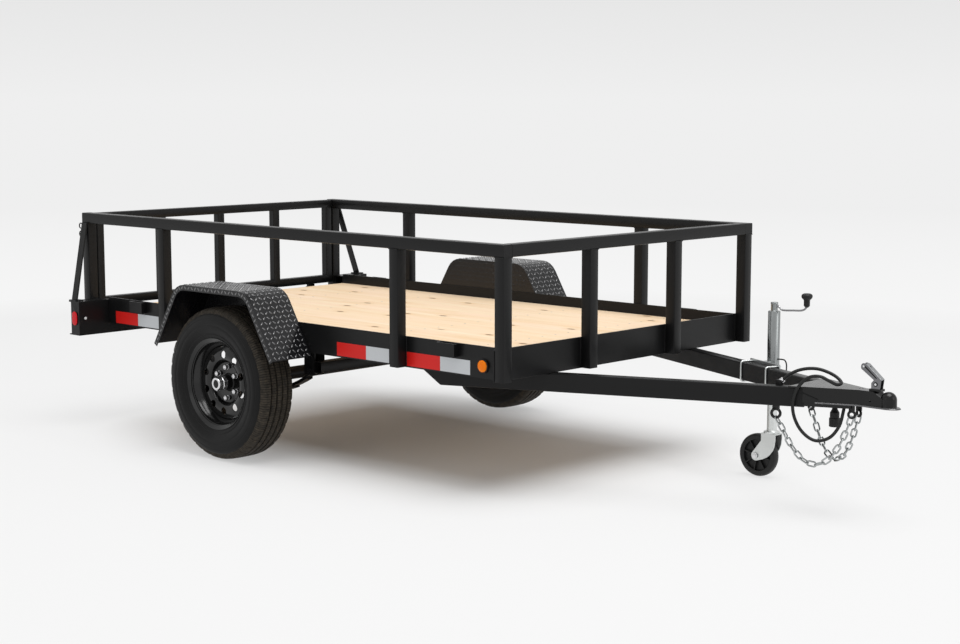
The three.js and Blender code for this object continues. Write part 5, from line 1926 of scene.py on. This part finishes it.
@dataclass
class SafetyChain:
    """A chain from the ring under a beam to the eye under the coupler."""

    packed: Packed
    side: Side
    wire: float = 0.007
    inside: float = 0.030
    ring: Triple = (3.632, 0.12476, 0.395)
    ring_radius: float = 0.017
    ring_wire: float = 0.0058
    ring_stem: tuple[float, float] = (0.015, 0.0195)
    eye: Triple = (3.910, 0.026, 0.410)
    eye_radius: float = 0.0125
    eye_wire: float = 0.0052
    eye_stem: tuple[float, float] = (0.012, 0.060)
    hang: Pairs = (
        (0.083, 0.340), (0.223, 0.268), (0.389, 0.217), (0.525, 0.205), (0.683, 0.222), (0.827, 0.275),
        (0.935, 0.345))

    def build(self) -> None:
        """Makes the links, the ring and the eye."""
        ring, eye = Vector(self.ring), Vector(self.eye)
        points = [ring - Vector((0, 0, self.ring_radius - 0.003))]
        points += [Vector((*ring.lerp(eye, share).xy, height)) for share, height in self.hang]
        points.append(eye - Vector((0, 0, 0.010)))
        points = [self.packed.at(point.x, self.side.value * point.y, point.z) for point in points]
        line = smooth_line(points, 40)
        bend = self.wire * 1.4
        count = round(length_of(line) / (self.inside + self.wire * 0.25))
        links = link_pattern(self.inside + self.wire, 2 * bend, self.wire / 2, bend * 0.995)
        places = [(point, way, index * math.pi / 2 + 0.5)
                  for index, (point, way) in enumerate(spaced(line, count))]
        host = spots(self.side.of("chain_spots"), places)
        self.packed.strew(self.side.of("chain_links"), links, host, self.side.of("safety_chain"))

        fittings = Draft()
        self.loop(fittings, ring, self.ring_radius, self.ring_wire, self.ring_stem)
        self.loop(fittings, eye, self.eye_radius, self.eye_wire, self.eye_stem)
        self.packed.add(fittings, self.side.of("chain_ring"), CAST_PAINT)

    def loop(self, draft: Draft, centre: Vector, radius: float, wire: float,
             stem: tuple[float, float]) -> None:
        """Adds a closed ring of wire with a flat stem above it.

        Args:
            draft: The draft it goes into.
            centre: The ring's centre, on the left side.
            radius: The ring's radius.
            wire: The wire's radius.
            stem: Half the stem's width, and its height.
        """
        middle = self.packed.at(centre.x, self.side.value * centre.y, centre.z)
        across = Vector((1, -BEAM_SLOPE * self.side.value, 0)).normalized()
        circle = [middle + (across * math.cos(angle) + Vector((0, 0, 1)) * math.sin(angle)) * radius
                  for angle in (math.tau * step / 32 for step in range(32))]
        draft.tube(circle, wire, 12, closed=True)
        foot = middle + Vector((0, 0, radius - 0.003))
        half = Vector((stem[0], 0.0035, 0))
        draft.block(foot - half, foot + Vector((0, 0, stem[1])) + half)


# ---- jack


@dataclass
class Jack:
    """The swivel jack on the left beam, with its crank and caster."""

    packed: Packed
    offset: float = 0.085
    swivel: float = 0.466
    beam_width: float = 0.0508
    beam_low: float = 0.4285
    beam_high: float = 0.5047
    plate: float = 0.0073
    plate_edge: tuple[float, float] = (0.016, 0.013)
    strap_radius: float = 0.0040
    strap_gap: float = 0.0043
    strap_bend: float = 0.010
    strap_end: float = 0.0175
    strap_places: tuple[float, float] = (-0.0317, 0.1569)
    tube_radius: float = 0.026
    tube_foot: float = 0.385
    shoulder: float = 0.721
    facets: int = 56
    pull_wire: Pairs = (
        (0.024, 0.5165), (0.046, 0.5170), (0.056, 0.5155), (0.063, 0.5080), (0.0665, 0.4980),
        (0.0670, 0.4800), (0.0660, 0.4660))
    knob: Pairs = (
        (0, 0.0140), (0.0060, 0.0145), (0.0118, 0.0205), (0.0128, 0.0230), (0.0130, 0.0440),
        (0.0150, 0.0480), (0.0190, 0.0515), (0.0222, 0.0560), (0.0234, 0.0615), (0.0228, 0.0665),
        (0.0200, 0.0705), (0.0165, 0.0718), (0.0140, 0.0732), (0.0080, 0.0739), (0, 0.0740))
    ribs: int = 8
    rib: Pairs = ((0, 0.016), (0.0044, 0.016), (0.0044, 0.068), (0, 0.068))
    axis: Vector = field(init=False)
    normal: Vector = field(init=False)
    along: Vector = field(init=False)
    mount: Vector = field(init=False)

    def __post_init__(self) -> None:
        """Finds the tube's axis, and the beam's directions and face beside it."""
        middle = self.packed.middle("jack_leg")
        self.axis = Vector((middle.x, middle.y, 0))
        self.normal = Vector((BEAM_SLOPE, 1, 0)).normalized()
        self.along = Vector((self.normal.y, -self.normal.x, 0))
        self.mount = self.axis - self.normal * self.offset

    def build(self) -> None:
        """Makes the jack from the bracket down to the caster."""
        self.bracket()
        self.straps()
        self.tube()
        self.drum()
        self.pull_pin()
        self.crank()
        self.leg()
        self.packed.softened("caster_fork", BRIGHT_ZINC, 1.2 * MM, 3)
        self.caster()
        self.caster_bolts()

    def on_beam(self, along: float, out: float, z: float) -> Vector:
        """A point by the beam: along its outer face, out from it, and up."""
        return self.mount + self.along * along + self.normal * out + Vector((0, 0, z))

    def turned(self, draft: Draft, rows: Pairs) -> Draft:
        """Adds a round form about the swivel's axis, by rows of a radius and a distance from the beam."""
        turns = [math.tau * step / self.facets for step in range(self.facets)]
        return draft.skin([[self.on_beam(radius * math.cos(turn), out, self.swivel + radius * math.sin(turn))
                            for turn in turns] for radius, out in rows], capped=True)

    def in_plane(self, points: Pairs, steps: int) -> list[Vector]:
        """A smooth line through points (ahead of the tube's axis, up)."""
        return smooth_line([self.axis + Vector((x, 0, z)) for x, z in points], steps)

    def bracket(self) -> None:
        """Makes the plate on the beam, with the swivel's stub."""
        rear, front = self.strap_places
        wide, tall = self.plate_edge
        low, high = self.beam_low - tall, self.beam_high + tall
        outline = [(rear - wide, low), (front + wide, low), (front + wide, high), (rear - wide, high)]
        faces = [[self.on_beam(along, out, z) for along, z in outline] for out in (0.0003, self.plate)]
        draft = self.turned(Draft().skin(faces, capped=True), ((0.016, self.plate - 0.001), (0.016, 0.020)))
        self.packed.add(draft, "bracket_plate", ZINC, "jack_bracket", bevel=1 * MM)

    def straps(self) -> None:
        """Makes the two U-bolts round the beam, and their nuts."""
        high, low = self.beam_high + self.strap_gap, self.beam_low - self.strap_gap
        bend, out = self.strap_bend, self.strap_end
        corner = -self.beam_width - self.strap_gap + bend
        path = [(out, high), *arc((corner, high - bend), bend, 90, 180, 6),
                *arc((corner, low + bend), bend, 180, 270, 6), (out, low)]
        draft, places = Draft(), []
        for place in self.strap_places:
            draft.tube([self.on_beam(place, out, z) for out, z in path], self.strap_radius, 16)
            places += [(self.on_beam(place, self.plate, z), self.normal, 0.2) for z in (high, low)]
        self.packed.add(draft, "bracket_straps", BRIGHT_ZINC)
        nuts = bolt_pattern("bracket_nuts", ZINC, 0.014, 0.0065)
        self.packed.strew("bracket_nuts", nuts, spots("bracket_nut_spots", places))

    def tube(self) -> None:
        """Makes the outer tube with its neck."""
        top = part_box("jack_tube")[1].z
        radius, foot, shoulder = self.tube_radius, self.tube_foot, self.shoulder
        bore = radius - 0.004
        profile = [(0, shoulder - 0.004), (bore, shoulder - 0.004), (bore, foot), (radius, foot),
                   (radius, shoulder - 0.0025), (radius - 0.0008, shoulder - 0.0008),
                   (radius - 0.0025, shoulder), (0.0160, shoulder), (0.0148, shoulder + 0.0012),
                   (0.0148, top - 0.0090), (0.0158, top - 0.0085), (0.0158, top - 0.0020),
                   (0.0145, top), (0, top)]
        tube = Draft().solid(profile, self.facets, self.axis, Axis.Z)
        self.packed.add(tube, "jack_body", TUBE_ZINC, "jack_tube", body=Body.JACK)

    def drum(self) -> None:
        """Makes the swivel's drum and the bolt through it."""
        near, face = 0.0088, self.offset - self.tube_radius
        rows = [(0.0425, near), (0.0440, near + 0.0015), (0.0440, near + 0.0090), (0.0428, near + 0.0100),
                (0.0428, near + 0.0115), (0.0440, near + 0.0125), (0.0440, face - 0.0015), (0.0425, face),
                (0.0300, face), (0.0300, self.offset - 0.0015)]
        self.packed.add(self.turned(Draft(), rows), "swivel_drum", ZINC, body=Body.JACK)
        ends = [(self.on_beam(0, self.offset - 0.002, self.swivel), self.normal, 0.0)]
        bolt = bolt_pattern("swivel_bolt", ZINC, 0.030, 0.010)
        self.packed.strew("swivel_bolt", bolt, spots("swivel_spot", ends), body=Body.JACK)

    def pull_pin(self) -> None:
        """Makes the bent wire that pulls the swivel's locking pin."""
        wire = Draft().tube(self.in_plane(self.pull_wire, 5), 0.0030, 12)
        self.packed.add(wire, "pull_wire", PLASTIC, body=Body.JACK)

    def crank(self) -> None:
        """Makes the crank's rod with its boss, and the knob."""
        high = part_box("jack_crank")[1]
        end, level = high.x - 0.020 - self.axis.x, high.z - 0.074
        shape = [(0.0120, level + 0.009), (0.0240, level + 0.006), (0.0360, level - 0.004),
                 (0.0500, level - 0.006), (0.0950, level - 0.003), (end - 0.0260, level),
                 (end - 0.0100, level + 0.006), (end - 0.0015, level + 0.016), (end, level + 0.026)]
        handle = Draft().tube(self.in_plane(shape, 6), 0.0042, 16)
        boss = [(0, 0.0100), (0.0062, 0.0100), (0.0062, 0.0190), (0.0050, 0.0200), (0, 0.0200)]
        handle.solid(boss, 24, self.axis + Vector((0, 0, level + 0.009)), Axis.X)
        self.packed.add(handle, "crank_rod", DARK_ZINC, body=Body.JACK)
        rows = [(radius, level + up) for radius, up in self.knob]
        knob = Draft().solid(rows, 40, self.axis + Vector((end, 0, 0)), Axis.Z)
        self.packed.add(knob, "crank_knob", PLASTIC, "jack_crank", sharp=50, body=Body.JACK)

    def leg(self) -> None:
        """Makes the sliding leg and its foot plate."""
        low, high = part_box("jack_leg")
        rows = [(0, 0), (0.033, 0), (0.034, 0.0015), (0.034, 0.0065), (0.032, 0.008), (0.0235, 0.0085),
                (0.0212, 0.0115)]
        profile = [(radius, low.z + up) for radius, up in rows] + [(0.0210, high.z), (0, high.z)]
        leg = Draft().solid(profile, self.facets, self.axis, Axis.Z)
        self.packed.add(leg, "jack_inner", BRIGHT_ZINC, "jack_leg", body=Body.JACK_LEG)

    def caster_centre(self) -> tuple[Vector, float]:
        """The middle of the caster wheel, and half its width.

        Returns:
            The middle and the half width.
        """
        low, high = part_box("caster_wheel")
        centre = Vector(((low.x + high.x) / 2, (low.y + high.y) / 2, high.z / 2))
        return centre, (high.y - low.y) / 2

    def caster(self) -> None:
        """Makes the caster's moulded wheel, with ribs on both faces."""
        centre, half = self.caster_centre()
        edge = [(0.0700, 0.002), (0.0840, 0.002), (0.0890, 0.005), (0.0922, 0.012), (0.0930, 0.019)]
        inner = [(0.0675, 0.004), (0.0665, 0.012)]
        rim = [(radius, inset - half) for radius, inset in edge]
        rim += [(radius, half - inset) for radius, inset in edge[::-1] + inner]
        rim += [(0.0660, 0.004), (0.0660, -0.004)]
        rim += [(radius, inset - half) for radius, inset in inner[::-1]]
        hub = [(0.0065, -half), (0.0170, -half), (0.0185, -half + 0.004), (0.0195, -0.005), (0.0665, -0.005)]
        wheel = Draft().turned(rim, 72, centre)
        wheel.turned(hub + [(radius, -along) for radius, along in reversed(hub)], 56, centre)
        for index in range(self.ribs):
            turn = Matrix.Rotation(math.tau * index / self.ribs + 0.2, 3, "Y")
            across, up = turn @ Vector((1, 0, 0)), turn @ Vector((0, 0, 1))
            for face in (-1, 1):
                base = centre + Vector((0, face * 0.004, 0)) - across * 0.0022
                ring = [base + across * a + up * b for a, b in self.rib]
                outer = [point + Vector((0, face * (half - 0.008), 0)) for point in ring]
                wheel.skin([ring, outer], capped=True)
        self.packed.add(wheel, "caster_body", PLASTIC, "caster_wheel", body=Body.CASTER_WHEEL,
                        bevel=0.7 * MM)

    def caster_bolts(self) -> None:
        """Makes the axle's bolt head and washer on both sides of the fork."""
        centre, _ = self.caster_centre()
        low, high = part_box("caster_fork")
        axle = Draft()
        for face, way in ((low.y, -1), (high.y, 1)):
            spot = Vector((centre.x, face, centre.z))
            for height, radius, sides in ((0.0045, 0.0085, 6), (0.0015, 0.0125, 24)):
                ends = [spot - Vector((0, way * 0.001, 0)), spot + Vector((0, way * height, 0))]
                axle.tube(ends, radius, sides)
        self.packed.add(axle, "caster_bolts", CHROME, bevel=0.6 * MM, body=Body.CASTER)


# ---- studio


@dataclass
class Studio:
    """Floor, light and camera."""

    position: Triple = (5.3629, -5.8105, 1.6098)
    azimuth: float = 43.29
    pitch: float = 7.26
    lens: float = 65.625
    ambient: float = 0.60
    # lift: the share of painted glow over the trailer's shadow just outside the box.
    lift: float = 0.74
    shade_middle: Triple = (-0.45, 0.0, 0.0)
    shade_reach: Triple = (0.80, 0.45, 1.0)
    near: Colour = (0.92, 0.92, 0.92)
    horizon: Colour = (0.862, 0.862, 0.862)
    above: Colour = (0.80, 0.80, 0.80)
    floor_reach: float = 60.0

    def camera(self) -> None:
        """Sets the camera."""
        data = bpy.data.cameras.new("camera")
        data.lens = self.lens
        data.sensor_width = 36.0
        data.clip_end = 200.0
        camera = bpy.data.objects.new("camera", data)
        turn, dip = math.radians(self.azimuth), math.radians(self.pitch)
        look = Vector((-math.sin(turn) * math.cos(dip), math.cos(turn) * math.cos(dip), -math.sin(dip)))
        camera.location = self.position
        camera.rotation_euler = look.to_track_quat("-Z", "Y").to_euler()
        bpy.context.scene.collection.objects.link(camera)
        bpy.context.scene.camera = camera

    def light(self, name: str, place: Point, aim: Point, size: float, power: float) -> None:
        """Adds a square soft light.

        Args:
            name: Its name.
            place: Where it stands.
            aim: The point it shines at.
            size: Its width.
            power: Its power in watts.
        """
        data = bpy.data.lights.new(name, "AREA")
        data.shape = "SQUARE"
        data.size = size
        data.energy = power
        lamp = bpy.data.objects.new(name, data)
        lamp.location = place
        lamp.rotation_euler = (Vector(aim) - Vector(place)).to_track_quat("-Z", "Y").to_euler()
        bpy.context.scene.collection.objects.link(lamp)

    def build(self) -> None:
        """Makes the floor and the lights."""
        bpy.context.scene.view_settings.view_transform = "Standard"
        self.light("overhead", (3.0, -0.5, 11.0), (0.3, 0, 0), 8.0, 1050)
        self.light("front", (8.5, 2.0, 3.2), (0.8, 0, 0.5), 4.0, 60)
        self.light("side", (-1.0, -9.0, 3.6), (0, 0, 0.5), 4.0, 20)
        self.floor()
        self.world()

    def floor(self) -> None:
        """Makes a pale floor that fades into the background far from the trailer, with painted glow that
        lightens the trailer's cast shadow outside a box round the shadow's middle.
        """
        reach = self.floor_reach
        mesh = bpy.data.meshes.new("floor")
        corners = [(-reach, -reach, 0), (reach, -reach, 0), (reach, reach, 0), (-reach, reach, 0)]
        mesh.from_pydata(corners, [], [(0, 1, 2, 3)])
        sheet = Sheet("floor")
        sheet.set(Base_Color=colour(0.74, 0.74, 0.74), Roughness=0.9, Specular_IOR_Level=0.1)
        mesh.materials.append(sheet.material)
        floor = bpy.data.objects.new("floor", mesh)
        floor.location = (0, 0, -0.001)
        bpy.context.scene.collection.objects.link(floor)

        offset = sheet.vectors("SUBTRACT", sheet.place, self.shade_middle).outputs["Vector"]
        apart = sheet.vectors("ABSOLUTE", offset).outputs["Vector"]
        beyond = sheet.vectors("SUBTRACT", apart, self.shade_reach).outputs["Vector"]
        outside = sheet.vectors("MAXIMUM", beyond).outputs["Vector"]
        away = sheet.vectors("LENGTH", outside).outputs["Value"]
        # Painted light: outside the box the floor's shading is mixed with glow, up to a 0.74 share within
        # 0.75 m, which lightens the trailer's shadow there.
        share = sheet.sums("MULTIPLY", sheet.span(away, 0.0, 0.75), self.lift)
        share = sheet.sums("MAXIMUM", share, sheet.span(away, 0.8, 6.0))
        tone = sheet.mixed(sheet.span(away, 5.0, 18.0), colour(*self.near), colour(*self.horizon))
        glow = sheet.node("ShaderNodeEmission", Color=tone, Strength=1.0)
        blend = sheet.blended(share, sheet.shader, glow)
        sheet.feed(sheet.nodes["Material Output"].inputs["Surface"], blend)
        floor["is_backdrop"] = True

    def world(self) -> None:
        """Makes a background that darkens upwards, brighter to the eye than to the trailer."""
        world = bpy.data.worlds.new("studio")
        world.use_nodes = True
        bpy.context.scene.world = world
        tree = Tree(world.node_tree)
        shade = tree.nodes["Background"]
        shade.inputs["Color"].default_value = colour(1, 1, 1)
        shade.inputs["Strength"].default_value = self.ambient
        place = tree.node("ShaderNodeTexCoord").outputs["Generated"]
        height = tree.node("ShaderNodeSeparateXYZ", Vector=place).outputs["Z"]
        rise = tree.node("ShaderNodeMapRange", Value=height, From_Max=0.055).outputs["Result"]
        tone = tree.mixed(rise, colour(*self.horizon), colour(*self.above))
        seen = tree.node("ShaderNodeBackground", Color=tone)
        path = tree.node("ShaderNodeLightPath")
        either = tree.sums("MAXIMUM", path.outputs["Is Camera Ray"], path.outputs["Is Glossy Ray"])
        tree.feed(tree.nodes["World Output"].inputs["Surface"], tree.blended(either, shade, seen))


def main() -> None:
    """Builds the scene."""
    logging.basicConfig(level=logging.INFO, format="%(name)s: %(message)s")
    packed = Packed()
    studio = Studio()
    studio.camera()
    Wiring(packed).build()
    Frame(packed).build()
    Deck(packed).build()
    Tailgate(packed).build()
    for side in Side:
        Lamps(packed, side).build()
    for side in Side:
        Fender(packed, side).build()
        Wheel(packed, side).build()
        SafetyChain(packed, side).build()
    Tongue(packed).build()
    Coupler(packed).build()
    Jack(packed).build()
    studio.build()


if __name__ == "__main__":
    main()
